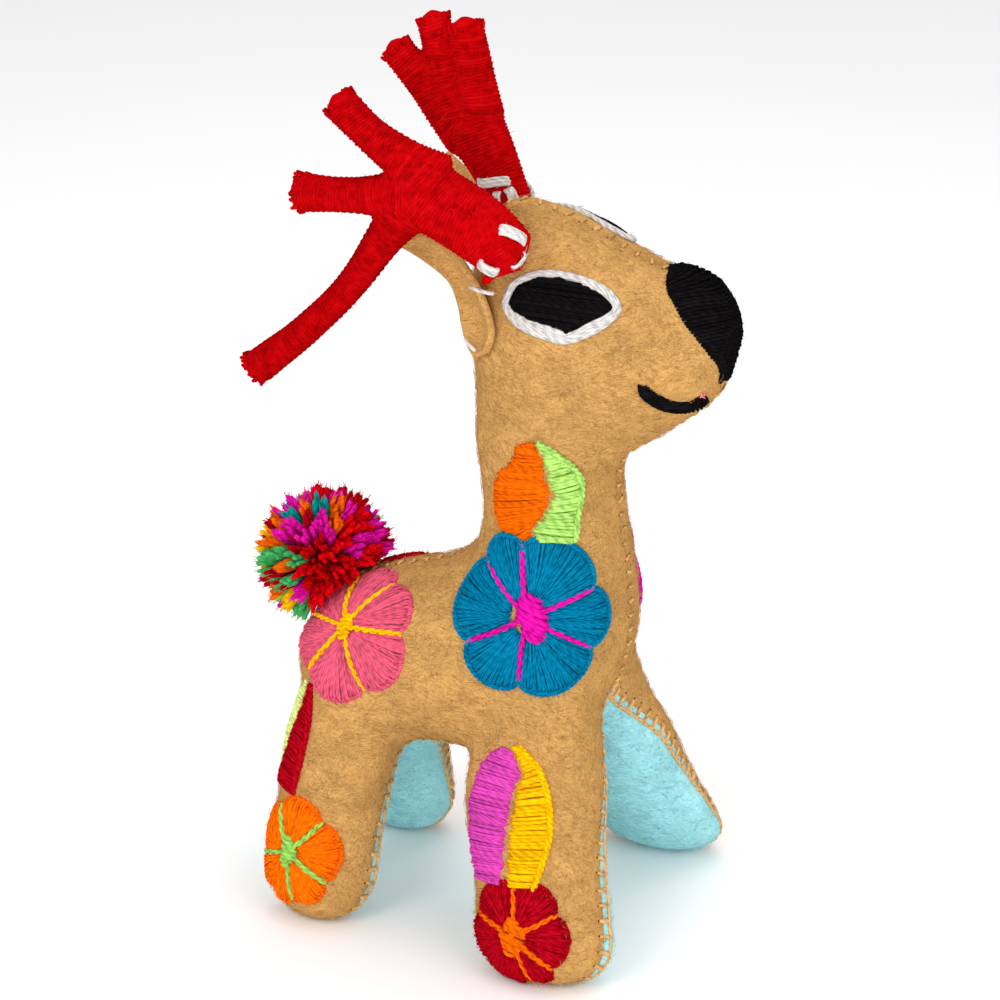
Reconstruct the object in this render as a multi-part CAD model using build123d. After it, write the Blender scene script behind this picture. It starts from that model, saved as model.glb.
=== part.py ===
from build123d import *
import math
import os

# A hand-sewn felt deer: two tan side panels and a pale-blue underbody over a fibre
# filling, with wool embroidery, yarn-wrapped antlers, felt ears and a pompom tail.
# Frame: +X to the nose, +Y to the deer's left, +Z up. Origin on the ground, midway
# between the four feet. Millimetres.

# ---- driving dimensions ----
FELT = 2.0  # felt thickness
CLEAR = 0.15  # gap between neighbouring soft pieces
SATIN = 1.0  # height of the satin stitching above the felt
SPOKE = 0.8  # height of the flower spokes above the satin stitching
SEAM_WIDTH = 1.0  # width of the sewing thread along a seam
SPOKE_WIDTH = 1.3
PETAL_GAP = 0.3  # slot between neighbouring petals
PETALS = 6
FRONT_STANCE = 37.0  # sideways distance of a front foot's centre from the middle
REAR_STANCE = 28.0
POMPOM_RADIUS = 18.0
POMPOM_HEIGHT = 92.0
EAR_CURL = 12.0  # radius the ear felt is cupped to
EAR_OFF_HEAD = 1.0  # space between ear or antler and the head
ANTLER_OFF_HEAD = 2.0
POMPOM_OFF_RUMP = 4.0
WIRE_RADIUS = 0.9  # bendable wire inside the antlers
BEND_SWELL = 1.06  # a rod is this much thicker where it bends
TACK_RADIUS = 0.6  # white yarn that sews the antlers on
TIE_RADIUS = 0.8  # thread that holds the pompom
BOX = 400.0  # larger than the whole deer
NEAR_MIDDLE = 9.0  # side embroidery stays this far off the middle
BELOW_GROUND = -10.0  # depth to which cutting shapes reach
OVER_MIDDLE = 0.01  # overlap of the two halves of the mouth's cutting shape
KNOT_SWELL = 2.2  # the pompom's knot is this many times the thread's radius
TIE_ROOT = (-41.5, 0, 84.0)  # where the pompom's thread enters the rump
OUT = BOX / 4  # sideways reach of the shapes that cut the felt
FACE_OUT = BOX / 10  # the same for nose and mouth
SAME_RADIUS = 0.01  # ends of a rod closer than this in radius make a cylinder

# Torso, neck and head on the middle plane: upper or rear point and lower or front point
# of each section as X, Z, then the half width.
SPINE = [
    ((-49.5, 72), (-50.0, 61), 7.0),
    ((-42.0, 81), (-44.0, 50), 18.0),
    ((-31.0, 88), (-32.0, 44.5), 22.5),
    ((-14.0, 93), (-10.0, 44), 24.5),
    ((-5.0, 97), (13.0, 46), 24.5),
    ((-1.0, 102), (35.5, 65), 23.5),
    ((1.0, 109), (39.8, 88), 21.5),
    ((1.5, 119), (37.3, 109), 18.5),
    ((0.5, 131), (35.8, 122), 17.5),
    ((-1.5, 148), (36.5, 126.5), 18.5),
    ((-3.0, 168), (38.5, 128.5), 20.5),
    ((3.5, 184), (43.0, 131), 21.5),
    ((16.0, 188), (48.0, 134.5), 21.0),
    ((31.0, 184), (53.5, 138.5), 19.0),
    ((44.5, 178), (59.0, 143), 15.5),
    ((56.0, 173), (63.8, 149), 11.5),
    ((62.8, 168), (65.3, 156.5), 5.5),
]

# Legs: height, rearmost X, foremost X, sideways centre, half width of each level section.
FRONT_LEG = [
    (74, 6, 31, 7.0, 11.0),
    (60, 3, 36, 12.0, 13.0),
    (45, 3, 40.0, 19.0, 13.0),
    (30, 6, 42.5, 26.0, 12.5),
    (16, 10, 47, 32.0, 12.0),
    (6, 12.5, 48.0, FRONT_STANCE - 1, 10.5),
    (0.5, 18, 43, FRONT_STANCE, 6.5),
    (-1.5, 25, 36, FRONT_STANCE, 3.0),
]
REAR_LEG = [
    (74, -40, -20, 7.0, 11.0),
    (60, -46, -16, 11.0, 13.0),
    (45, -49, -18, 16.0, 12.5),
    (30, -50.5, -20, 20.5, 12.0),
    (16, -51.5, -20.5, 25.0, 11.5),
    (6, -49.5, -22, REAR_STANCE - 0.5, 10.0),
    (0.5, -44, -27, REAR_STANCE, 6.0),
    (-1.5, -39, -31, REAR_STANCE, 2.8),
]

# Seam between the tan felt and the blue underbody: X, height where the two side seams
# meet on the middle plane, and their sideways distance from it on the ground.
WEDGE_FRONT = (60.0, 69.0, 41.0)
WEDGE_REAR = (-60.0, 56.0, 21.5)

# Flowers on the right side: X and Z of the centre, radius, angle of the first spoke.
FLOWERS = {
    "shoulder": (19.3, 91.0, 19.3, 90),
    "rump": (-31.3, 76.5, 16.0, 90),
    "front_foot": (25.5, 13.6, 12.8, 75),
    "rear_foot": (-39.5, 22.8, 13.0, 80),
}

# Shape of a flower, as shares of its radius.
FLOWER_HEART = 0.6  # disc that joins the petals
LOBE_DISTANCE = 0.57
LOBE_RADIUS = 0.43
FLOWER_HOLE = 0.12
SPOKE_REACH = 0.8
SPOKE_KNOT = 0.2

# Leaves on the right side: outline points as X, Z, starting and ending at the tip.
LEAVES = {
    "shoulder_leaf_rear": [(19.5, 133.5), (11.5, 126), (9.5, 113.5), (16.5, 110.5), (21.0, 112)],
    "shoulder_leaf_front": [(20.5, 133.5), (29.5, 128), (32.5, 119), (27.5, 110.5), (22.0, 112)],
    "front_leg_leaf_rear": [(16.5, 56), (10.0, 47), (9.5, 36), (11.0, 28.5), (18.0, 27.5)],
    "front_leg_leaf_front": [(17.5, 56), (26.5, 48), (29.0, 38), (27.5, 28.5), (19.0, 27.5)],
    "rear_leg_leaf_rear": [(-45.5, 62), (-51.0, 52), (-54.0, 38), (-47.5, 37)],
    "rear_leg_leaf_front": [(-44.7, 61.5), (-40.5, 52), (-40.5, 40), (-46.7, 37)],
}

EYE_CENTRE = (28.0, 169.3)
EYE_HALF_LENGTH = 14.0
EYE_HALF_HEIGHT = 8.3
EYE_TILT = -4.0  # degrees, front corner down
EYE_RIM = 2.3  # width of the white outline
EYE_CORNER = 1.6  # the outline is this many times wider at the corners

NOSE = [(49.5, 190), (51.5, 171), (59.0, 162), (62.5, 154), (65.5, 152.5), (80, 142), (80, 190)]
MOUTH = [(45.5, 150.3), (50.0, 145.0), (55.5, 143.3), (61.0, 146.3)]
MOUTH_WIDTH = 2.2
LIP_STITCH = (58.6, 149.6)
LIP_STITCH_RADIUS = 0.9

# Ears: base, tip (right-hand ones at negative Y), width.
EAR_RIGHT = ((8.0, -13.5, 164.0), (-12.5, -15.5, 185.0), 12.5)
EAR_LEFT = ((6.0, 11.0, 172.0), (-15.5, 11.0, 198.0), 10.0)
EAR_WIDEST = 0.42  # place of the widest part, as a share of the length
EAR_BASE = 0.55  # width of the sewn end, as a share of the widest

# Antlers: runs of (X, Y, Z, radius) from the sewn base to the cut tine ends.
ANTLER_RIGHT = [
    [(15.5, -22.5, 178, 6.2), (6, -25.5, 188, 6.8), (-5, -27.5, 196, 7.5)],
    [(-3, -27.5, 198, 7.0), (-10, -28, 203.5, 5.0), (-29, -27, 217, 4.0)],
    [(-7, -27.5, 196, 6.5), (-20, -28, 194.5, 4.6), (-40, -26, 193, 4.2)],
    [(-8, -27.5, 193, 6.0), (-17, -27.5, 183, 4.2), (-28, -27, 168, 3.8), (-53, -26, 146, 4.0)],
]
ANTLER_LEFT = [
    [(2, 23.5, 177, 5.5), (-6, 25, 189, 6.0), (-14, 26, 201, 7.5)],
    [(-13, 26, 203, 6.0), (-15, 25.5, 214, 4.5), (-17.5, 24.5, 226.5, 4.2)],
    [(-17, 26, 203, 6.0), (-21, 25.5, 214, 4.5), (-25, 26, 227, 3.8)],
    [(-20, 25.5, 203, 5.5), (-27, 24, 211, 4.2), (-34, 23, 219.5, 4.0)],
]
WIRE_INSET = 0.12  # the wire stops this fraction of the last run before the cut end
TACKS_AT = (0.2, 0.44, 0.68)  # positions of the tacking loops along the antler base


# ---- stuffed body ----
def spine_section(rear, front, half_width, grow):
    """One elliptical section of torso, neck or head, grown by grow all round."""
    dx, dz = front[0] - rear[0], front[1] - rear[1]
    half = math.hypot(dx, dz) / 2
    centre = ((rear[0] + front[0]) / 2, 0, (rear[1] + front[1]) / 2)
    plane = Plane(origin=centre, x_dir=(dx, 0, dz), z_dir=(-dz, 0, dx))
    return plane * Ellipse(half + grow, half_width + grow)


def torso(grow):
    """Torso, neck and head in one loft, grown by grow all round."""
    sections = [spine_section(*row, grow) for row in SPINE]
    sections[0] = Pos(-grow, 0, 0) * sections[0]
    sections[-1] = Pos(grow, 0, 0) * sections[-1]
    return loft(sections)


def leg(levels, grow):
    """Right-hand leg from inside the torso down to the foot."""
    sections = []
    for height, rear, front, sideways, half_width in levels:
        centre = Pos((rear + front) / 2, -sideways, height)
        sections.append(centre * Ellipse((front - rear) / 2 + grow, half_width + grow))
    return loft(sections)


def stuffed(grow):
    """The whole stuffed body, grown by grow all round and flat under the feet."""
    shape = torso(grow)
    for levels in (FRONT_LEG, REAR_LEG):
        right = leg(levels, grow)
        shape = shape + right + mirror(right, about=Plane.XZ)
    floor = max(0.0, -grow)
    return shape & Pos(0, 0, BOX / 2 + floor) * Box(BOX, BOX, BOX)


def underside(grow):
    """Everything below the two seams of the underbody, grown sideways by grow."""
    ends = []
    for x, apex, foot in (WEDGE_FRONT, WEDGE_REAR):
        lift = grow * math.hypot(apex, foot) / foot
        slope = foot / apex
        half = (apex + lift - BELOW_GROUND) * slope
        low_corners = [(half, BELOW_GROUND), (-half, BELOW_GROUND)]
        corners = Polyline((0, apex + lift), *low_corners, close=True)
        section = Plane(origin=(x, 0, 0), x_dir=(0, 1, 0), z_dir=(1, 0, 0)) * make_face(corners)
        ends.append(section)
    return loft(ends, ruled=True)


def slab(y_from, y_to):
    """Everything between two sideways distances."""
    return Pos(0, (y_from + y_to) / 2, BOX / 2) * Box(BOX, y_to - y_from, BOX)


def upright(outline, y_from, y_to):
    """A shape drawn in X and Z, carried sideways between two distances."""
    drawn = Plane(origin=(0, y_to, 0), x_dir=(1, 0, 0), z_dir=(0, -1, 0)) * outline
    return extrude(drawn, y_to - y_from, dir=(0, -1, 0))


def closed_spline(points):
    """A smooth outline through the points with a corner at the first one."""
    return make_face([Spline(points), Line(points[-1], points[0])])


# ---- layers shared by all the pieces ----
SKIN = stuffed(0)
INSIDE = stuffed(-FELT)
FILLING = stuffed(-FELT - CLEAR)
SATIN_LOW = stuffed(CLEAR)
SATIN_HIGH = stuffed(CLEAR + SATIN)
SPOKE_LOW = stuffed(2 * CLEAR + SATIN)
SPOKE_HIGH = stuffed(2 * CLEAR + SATIN + SPOKE)
SEAM_SIDE = SEAM_WIDTH / 2
SEAM_BAND = underside(SEAM_SIDE) - underside(-SEAM_SIDE)
KEEP_OUT = underside(SEAM_SIDE + CLEAR)
FELT_SHELL = SKIN - INSIDE
SEAM_SHELL = SATIN_HIGH - SATIN_LOW


def on_felt(drawing):
    """Right-hand satin patch of the drawn shape lying on the tan felt."""
    prism = upright(drawing, -OUT, -NEAR_MIDDLE)
    return (prism & SATIN_HIGH) - SATIN_LOW - KEEP_OUT


def on_satin(drawing):
    """Right-hand stitches of the drawn shape lying on the satin stitching."""
    prism = upright(drawing, -OUT, -NEAR_MIDDLE)
    return (prism & SPOKE_HIGH) - SPOKE_LOW - KEEP_OUT


# ---- felt, filling and seams ----
def side_panel():
    """Tan felt of the right side, head to feet."""
    return (FELT_SHELL & slab(-OUT, -CLEAR / 2)) - underside(CLEAR / 2)


def underbody():
    """Blue felt under the belly and inside the legs, in one piece."""
    return FELT_SHELL & underside(-CLEAR / 2)


def middle_seam(taken):
    """Thread along the middle, over head and back and down the chest."""
    seam = (SEAM_SHELL & slab(-SEAM_SIDE, SEAM_SIDE)) - KEEP_OUT
    for shape in taken:
        seam = seam - shape
    return seam


def leg_seam():
    """Right-hand thread along the seam between tan felt and underbody."""
    return SEAM_SHELL & SEAM_BAND & slab(-OUT, -CLEAR)


# ---- face ----
def almond(half_length, half_height):
    """Eye outline with a pointed corner at each end."""
    upper = Spline((-half_length, 0), (0, half_height), (half_length, 0))
    lower = Spline((half_length, 0), (0, -half_height), (-half_length, 0))
    placed = Pos(*EYE_CENTRE) * Rot(0, 0, EYE_TILT)
    return placed * make_face([upper, lower])


def eye():
    """Black satin filling of the right eye."""
    inner = EYE_RIM + CLEAR
    return on_felt(almond(EYE_HALF_LENGTH - EYE_CORNER * inner, EYE_HALF_HEIGHT - inner))


def eye_outline():
    """White outline of the right eye."""
    hole = almond(EYE_HALF_LENGTH - EYE_CORNER * EYE_RIM, EYE_HALF_HEIGHT - EYE_RIM)
    return on_felt(almond(EYE_HALF_LENGTH, EYE_HALF_HEIGHT) - hole)


def nose_region(spread):
    """The space that the nose embroidery takes, on both sides of the snout."""
    drawn = make_face(Polyline(NOSE, close=True))
    return upright(offset(drawn, amount=spread), -FACE_OUT, FACE_OUT)


def nose():
    """Black satin cap over the tip of the snout."""
    return (nose_region(0) & SATIN_HIGH) - SATIN_LOW


def mouth_region(spread):
    """The space that the mouth line takes on the right, up to the middle."""
    line = Spline(MOUTH)
    drawn = trace(line, MOUTH_WIDTH + 2 * spread)
    return upright(drawn, -FACE_OUT, OVER_MIDDLE)


def mouth():
    """Black mouth line, right half."""
    return (mouth_region(0) & SATIN_HIGH) - SATIN_LOW - slab(-CLEAR / 2, BOX / 2)


def lip_stitch():
    """One pink stitch beside the right end of the lip."""
    return on_felt(Pos(*LIP_STITCH) * Circle(LIP_STITCH_RADIUS))


# ---- flowers and leaves ----
def ray(reach, width, angle):
    """A straight bar from the centre outward."""
    return Rot(0, 0, angle) * Pos(reach / 2, 0) * Rectangle(reach, width)


def spoke_angles(first):
    """Directions of the spokes, which lie between the petals."""
    return [first + turn * 360 / PETALS for turn in range(PETALS)]


def largest(shape, count):
    """The largest solids of a shape, without slivers from the inside of the leg."""
    ranked = sorted(shape.solids(), key=lambda solid: solid.volume, reverse=True)
    return Compound(ranked[:count])


def petals(x, z, radius, first):
    """Satin petals with a scalloped edge, one solid each."""
    flower = Circle(radius * FLOWER_HEART)
    lobe = Pos(radius * LOBE_DISTANCE, 0) * Circle(radius * LOBE_RADIUS)
    for angle in spoke_angles(first + 180 / PETALS):
        flower += Rot(0, 0, angle) * lobe
    flower -= Circle(radius * FLOWER_HOLE)
    for angle in spoke_angles(first):
        flower -= ray(2 * radius, PETAL_GAP, angle)
    return largest(on_felt(Pos(x, z) * flower), PETALS)


def spokes(x, z, radius, first):
    """Star of spokes and centre knot over the petals."""
    star = Circle(radius * SPOKE_KNOT)
    for angle in spoke_angles(first):
        star += ray(radius * SPOKE_REACH, SPOKE_WIDTH, angle)
    return largest(on_satin(Pos(x, z) * star), 1)


def leaf(points):
    """One half of a leaf in satin stitch, on the outside of the leg or neck only."""
    return largest(on_felt(closed_spline(points)), 1)


# ---- ears ----
def ear(base, tip, width, side):
    """Cupped felt leaf, sewn on by its blunt end, hollow side outward."""
    base, tip = Vector(*base), Vector(*tip)
    along = tip - base
    length = along.length
    outward = Vector(0, side, 0)
    facing = outward - along.normalized() * outward.dot(along.normalized())
    plane = Plane(origin=base, x_dir=along, z_dir=facing)
    half = width / 2
    sewn = half * EAR_BASE
    widest = length * EAR_WIDEST
    upper = Spline((0, sewn), (widest, half), (length, 0))
    lower = Spline((length, 0), (widest, -half), (0, -sewn))
    blank = make_face([upper, lower, Line((0, -sewn), (0, sewn))])
    bar = extrude(plane * blank, EAR_CURL / 2, dir=plane.z_dir, both=True)
    axis = plane * Pos(length / 2, 0, EAR_CURL) * Rot(0, 90, 0)
    tube = axis * Cylinder(EAR_CURL, 2 * length) - axis * Cylinder(EAR_CURL - FELT, 2 * length)
    return (bar & tube) - HEAD_SPACE


# ---- antlers ----
def tube_run(points):
    """A round rod through the points, cut flat at its last end."""
    rod = Pos(*points[0][:3]) * Sphere(points[0][3] * BEND_SWELL)
    for (x0, y0, z0, r0), (x1, y1, z1, r1) in zip(points, points[1:]):
        direction = Vector(x1 - x0, y1 - y0, z1 - z0)
        start = Plane(origin=(x0, y0, z0), z_dir=direction)
        if abs(r0 - r1) < SAME_RADIUS:
            piece = start * Pos(0, 0, direction.length / 2) * Cylinder(r0, direction.length)
        else:
            piece = start * Pos(0, 0, direction.length / 2) * Cone(r0, r1, direction.length)
        rod = rod + piece
        if (x1, y1, z1, r1) != tuple(points[-1]):
            rod = rod + Pos(x1, y1, z1) * Sphere(r1 * BEND_SWELL)
    return rod


def wire_runs(runs, radius):
    """The wire inside each run, stopping short of the cut end."""
    wires = None
    for number, run in enumerate(runs):
        thin = [(x, y, z, radius) for x, y, z, r in run]
        (x0, y0, z0, r0), (x1, y1, z1, r1) = thin[-2], thin[-1]
        keep = 1 - WIRE_INSET
        if number > 0:
            thin[-1] = (x0 + (x1 - x0) * keep, y0 + (y1 - y0) * keep, z0 + (z1 - z0) * keep, radius)
        joined = [(*runs[0][-1][:3], radius)] + thin if number > 0 else thin
        rod = tube_run(joined)
        wires = rod if wires is None else wires + rod
    return wires


def antler(runs):
    """Yarn wrapping of one antler, hollow for its wire and clear of the head."""
    wrap = None
    for run in runs:
        rod = tube_run(run)
        wrap = rod if wrap is None else wrap + rod
    return wrap - wire_runs(runs, WIRE_RADIUS + CLEAR) - ANTLER_SPACE


def antler_wire(runs):
    """Bendable wire of one antler."""
    return wire_runs(runs, WIRE_RADIUS) - ANTLER_SPACE


def antler_tacks(runs):
    """Loops of white yarn round the base of one antler."""
    (x0, y0, z0, r0), (x1, y1, z1, r1) = runs[0][0], runs[0][1]
    direction = Vector(x1 - x0, y1 - y0, z1 - z0)
    loops = []
    for place in TACKS_AT:
        centre = Vector(x0, y0, z0) + direction * place
        radius = max(r0, r1) + CLEAR + TACK_RADIUS
        plane = Plane(origin=centre, z_dir=direction)
        loops.append((plane * Torus(radius, TACK_RADIUS)) - ANTLER_SPACE)
    return Compound(loops)


# ---- tail ----
def pompom(centre, tie):
    """Ball of cut yarn, pressed in where it meets the rump, round its tie."""
    ball = Pos(*centre) * Sphere(POMPOM_RADIUS)
    return ball - stuffed(POMPOM_OFF_RUMP) - tie


def pompom_tie(centre, radius):
    """Thread from the rump to a knot in the middle of the pompom."""
    knot = Pos(*centre) * Sphere(radius * KNOT_SWELL)
    return (tube_run([(*centre, radius), (*TIE_ROOT, radius)]) + knot) - SPOKE_LOW


HEAD_SPACE = stuffed(EAR_OFF_HEAD)
ANTLER_SPACE = stuffed(ANTLER_OFF_HEAD)


def build():
    """All the pieces by name."""
    pieces = {"underbody_felt": underbody(), "fibre_filling": FILLING, "nose": nose()}
    pieces["lip_stitch"] = lip_stitch()
    right = {
        "side_felt": side_panel(),
        "leg_seam_thread": leg_seam(),
        "eye": eye(),
        "eye_outline": eye_outline(),
        "mouth": mouth(),
    }
    for name, (x, z, radius, first) in FLOWERS.items():
        right[name + "_petals"] = petals(x, z, radius, first)
        right[name + "_spokes"] = spokes(x, z, radius, first)
    for name, points in LEAVES.items():
        right[name] = leaf(points)
    for name, piece in right.items():
        pieces[name + "_right"] = piece
        pieces[name + "_left"] = mirror(piece, about=Plane.XZ)
    mouth_gap = mouth_region(CLEAR)
    taken = [nose_region(CLEAR), mouth_gap, mirror(mouth_gap, about=Plane.XZ)]
    pieces["middle_seam_thread"] = middle_seam(taken)
    for name, side, shape in (("right", -1, EAR_RIGHT), ("left", 1, EAR_LEFT)):
        pieces["ear_" + name] = ear(*shape, side)
    for name, runs in (("right", ANTLER_RIGHT), ("left", ANTLER_LEFT)):
        pieces["antler_yarn_" + name] = antler(runs)
        pieces["antler_wire_" + name] = antler_wire(runs)
        pieces["antler_tacks_" + name] = antler_tacks(runs)
    reach = pieces["nose"].bounding_box().max.X
    centre = (POMPOM_RADIUS - reach, 0, POMPOM_HEIGHT)
    pieces["pompom_tie"] = pompom_tie(centre, TIE_RADIUS)
    pieces["pompom_yarn"] = pompom(centre, pompom_tie(centre, TIE_RADIUS + CLEAR))
    return pieces


def main():
    """Build every piece and write it to its own file."""
    os.makedirs("parts", exist_ok=True)
    for name, piece in build().items():
        solids = piece.solids()
        print(name, len(solids), [round(s.volume, 1) for s in solids][:8], piece.is_valid)
        export_step(Compound(list(solids)) if len(solids) > 1 else solids[0], f"parts/{name}.step")


main()
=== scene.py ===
"""Looks of a hand-sewn felt deer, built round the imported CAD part. Lengths are metres in
the row frame: +X to the nose, +Y to the deer's left, +Z up."""

import math
import random

import bmesh
import bpy
import numpy as np
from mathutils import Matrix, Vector
from mathutils.bvhtree import BVHTree


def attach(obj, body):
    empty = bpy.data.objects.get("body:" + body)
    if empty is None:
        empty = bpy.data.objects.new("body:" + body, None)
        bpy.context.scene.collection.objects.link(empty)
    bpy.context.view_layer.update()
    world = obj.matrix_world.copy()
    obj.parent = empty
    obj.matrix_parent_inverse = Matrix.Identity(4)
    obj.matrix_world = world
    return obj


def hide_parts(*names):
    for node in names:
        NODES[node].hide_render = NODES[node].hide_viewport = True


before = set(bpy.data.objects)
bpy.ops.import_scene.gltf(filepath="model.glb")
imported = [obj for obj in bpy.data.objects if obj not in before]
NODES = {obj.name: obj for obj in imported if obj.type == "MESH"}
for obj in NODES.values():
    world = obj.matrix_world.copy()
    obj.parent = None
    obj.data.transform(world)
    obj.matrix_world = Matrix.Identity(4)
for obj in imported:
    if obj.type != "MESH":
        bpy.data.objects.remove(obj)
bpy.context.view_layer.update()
MM = 0.001
SIDES = {"right": -1, "left": 1}

# ---- stuffed body ----
REMESH_SIZE = 3.0 * MM
SWELL = 1.0 * MM  # how far the filling may push the felt out
SIM_FRAMES = 16
PIN_WIDTH = 2.0 * MM
SEAM_DIP = 0.4 * MM
SEAM_DIP_WIDTH = 1.8 * MM
# Seam of the underbody: X, height on the middle plane, sideways distance on the ground.
WEDGE_FRONT = (60.0 * MM, 69.0 * MM, 43.0 * MM)
WEDGE_REAR = (-60.0 * MM, 56.0 * MM, 25.0 * MM)
WEDGE_BULGE = 4.5 * MM  # how far the seam bows outward half way down a leg
# Where the hand filling differs from the plain shape: centre, reach and move in mm. The
# centre's Y counts on both sides.
FULLNESS = [
    ((9.0, 33.0, 51.0), 8.5, (-5.0, 0.0, -1.5)),
    ((-1.0, 0.0, 127.0), 14.0, (-2.8, 0.0, 0.0)),
    ((0.0, 0.0, 108.0), 6.0, (1.0, 0.0, -1.0)),
    ((8.0, 0.0, 186.0), 10.0, (-0.5, 0.0, 3.5)),
    ((40.0, 0.0, 181.0), 9.0, (0.0, 0.0, -1.0)),
    ((57.0, 0.0, 172.0), 7.0, (0.8, 0.0, 2.4)),
    ((65.5, 0.0, 155.0), 7.0, (-2.4, 0.0, 0.6)),
]
# The left front leg stands this far forward and outward at the foot.
LEFT_STEP = np.array([4.0, 7.0, 0.0]) * MM
STEP_TOP = 95.0 * MM
FELT_DEPTH = 2.6 * MM  # the filling starts this far below the outer surface

# ---- thread sizes ----
SATIN_RADIUS = 0.36 * MM
CORD_RADIUS = 0.5 * MM
STRAND_TONE = 0.3  # how much one strand may be darker or paler than the next
SPOKE_RADIUS = 0.62 * MM
SPOKE_PLY = 0.44 * MM
SEAM_THREAD = 0.42 * MM
STITCH_PITCH = 3.9 * MM
WRAP_RADIUS = 0.44 * MM
FRAY_RADIUS = 0.045 * MM


# =====================================================================================
# Materials
# =====================================================================================
class Shade:
    """A new material with short ways to add and join nodes."""

    def __init__(self, name):
        self.material = bpy.data.materials.new(name)
        self.material.use_nodes = True
        self.tree = self.material.node_tree
        self.tree.nodes.clear()
        out = self.tree.nodes.new("ShaderNodeOutputMaterial")
        self.surface = self.tree.nodes.new("ShaderNodeBsdfPrincipled")
        self.join(self.surface.outputs[0], out.inputs["Surface"])

    def join(self, source, target):
        self.tree.links.new(source, target)

    def add(self, kind, inputs=None, **settings):
        node = self.tree.nodes.new(kind)
        for key, value in settings.items():
            setattr(node, key, value)
        for key, value in (inputs or {}).items():
            if isinstance(value, bpy.types.NodeSocket):
                self.join(value, node.inputs[key])
            else:
                node.inputs[key].default_value = value
        return node

    def math(self, operation, a, b=0.0):
        return self.add("ShaderNodeMath", {0: a, 1: b}, operation=operation).outputs[0]

    def noise(self, vector, scale, detail=3.0, rough=0.55):
        node = self.add(
            "ShaderNodeTexNoise",
            {"Vector": vector, "Scale": scale, "Detail": detail, "Roughness": rough},
        )
        return node.outputs["Fac"]

    def ramp(self, factor, stops):
        node = self.add("ShaderNodeValToRGB", {"Fac": factor})
        ramp = node.color_ramp
        while len(ramp.elements) < len(stops):
            ramp.elements.new(0.5)
        for element, (place, colour) in zip(ramp.elements, stops):
            element.position = place
            element.color = (*colour, 1.0)
        return node.outputs["Color"]

    def blend(self, factor, a, b, mode="MIX"):
        node = self.add("ShaderNodeMix", data_type="RGBA", blend_type=mode)
        for index, value in ((0, factor), (6, a), (7, b)):
            if isinstance(value, bpy.types.NodeSocket):
                self.join(value, node.inputs[index])
            elif index:
                node.inputs[index].default_value = (*value, 1.0)
            else:
                node.inputs[index].default_value = value
        return node.outputs[2]

    def finish(self, colour, roughness, height=None, depth=0.1 * MM, sheen=0.3, strength=0.6):
        values = self.surface.inputs
        gloss = 0.0 if height is not None else 0.2
        self.join(colour, values["Base Color"])
        values["Roughness"].default_value = roughness
        values["Specular IOR Level"].default_value = gloss
        values["Sheen Weight"].default_value = sheen
        values["Sheen Roughness"].default_value = 0.4
        self.join(colour, values["Sheen Tint"])
        if height is not None:
            bump = self.add("ShaderNodeBump", {"Height": height, "Strength": strength})
            bump.inputs["Distance"].default_value = depth
            self.join(bump.outputs["Normal"], values["Normal"])
        return self.material


def fibre_lines(shade, coords, turn, scale, stretch, power):
    """Thin bright lines like fibres, all running roughly one way."""
    bend = shade.add("ShaderNodeTexNoise", {"Vector": coords, "Scale": 70.0, "Detail": 1.0})
    shift = shade.add(
        "ShaderNodeVectorMath",
        {0: bend.outputs["Color"], 1: (0.012, 0.012, 0.012)},
        operation="MULTIPLY",
    )
    moved = shade.add(
        "ShaderNodeVectorMath", {0: coords, 1: shift.outputs[0]}, operation="ADD"
    )
    mapped = shade.add(
        "ShaderNodeMapping",
        {"Vector": moved.outputs[0], "Rotation": turn, "Scale": (1.0, stretch, stretch)},
    )
    value = shade.noise(mapped.outputs[0], scale, 2.0, 0.5)
    centred = shade.math("ABSOLUTE", shade.math("SUBTRACT", value, 0.5))
    line = shade.math("SUBTRACT", 1.0, shade.math("MULTIPLY", centred, 6.0))
    return shade.math("POWER", shade.math("MAXIMUM", line, 0.0), power)


def felt(name, dark, middle, light):
    """Wool felt: matted fibres in many directions over a mottled ground, with painted shade in the sunken gaps
    between fibres and pale raised fibres that are partly painted highlight.
    """
    shade = Shade(name)
    coords = shade.add("ShaderNodeTexCoord").outputs["Object"]
    light_turns = ((0.3, 0.9, 0.2), (0.7, 2.0, 1.9), (2.4, 1.1, 0.4), (1.9, 0.5, 2.6))
    dark_turns = ((1.2, 0.1, 0.9), (0.9, 2.7, 1.2), (2.2, 1.9, 0.1))
    pale = layered(shade, coords, light_turns, 140.0)
    shaded_gap_lines = layered(shade, coords, dark_turns, 165.0)
    mottle = shade.noise(coords, 60.0, 4.0, 0.6)
    grain = shade.noise(coords, 1700.0, 3.0, 0.7)
    ground = shade.ramp(mottle, [(0.3, dark), (0.5, middle), (0.78, light)])
    # The sunken gap lines darken the colour: painted shade between the fibres.
    sunk = shade.blend(shade.math("MULTIPLY", shaded_gap_lines, 0.75), ground, dark)
    # The raised pale lines lighten it: paler fibres, partly painted highlight.
    fibres = shade.blend(shade.math("MULTIPLY", pale, 0.8), sunk, light)
    grained = shade.blend(0.28, fibres, shade.ramp(grain, [(0.3, dark), (0.7, light)]))
    total = shade.math("ADD", shade.math("SUBTRACT", pale, shaded_gap_lines), shade.math("MULTIPLY", grain, 0.7))
    return shade.finish(grained, 0.95, total, 0.3 * MM, 0.12, 0.8)


def layered(shade, coords, turns, scale):
    """Fibre lines running several ways, the strongest one winning."""
    most = None
    for turn in turns:
        lines = fibre_lines(shade, coords, turn, scale, 6.0, 2.0)
        most = lines if most is None else shade.math("MAXIMUM", most, lines)
    return most


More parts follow.
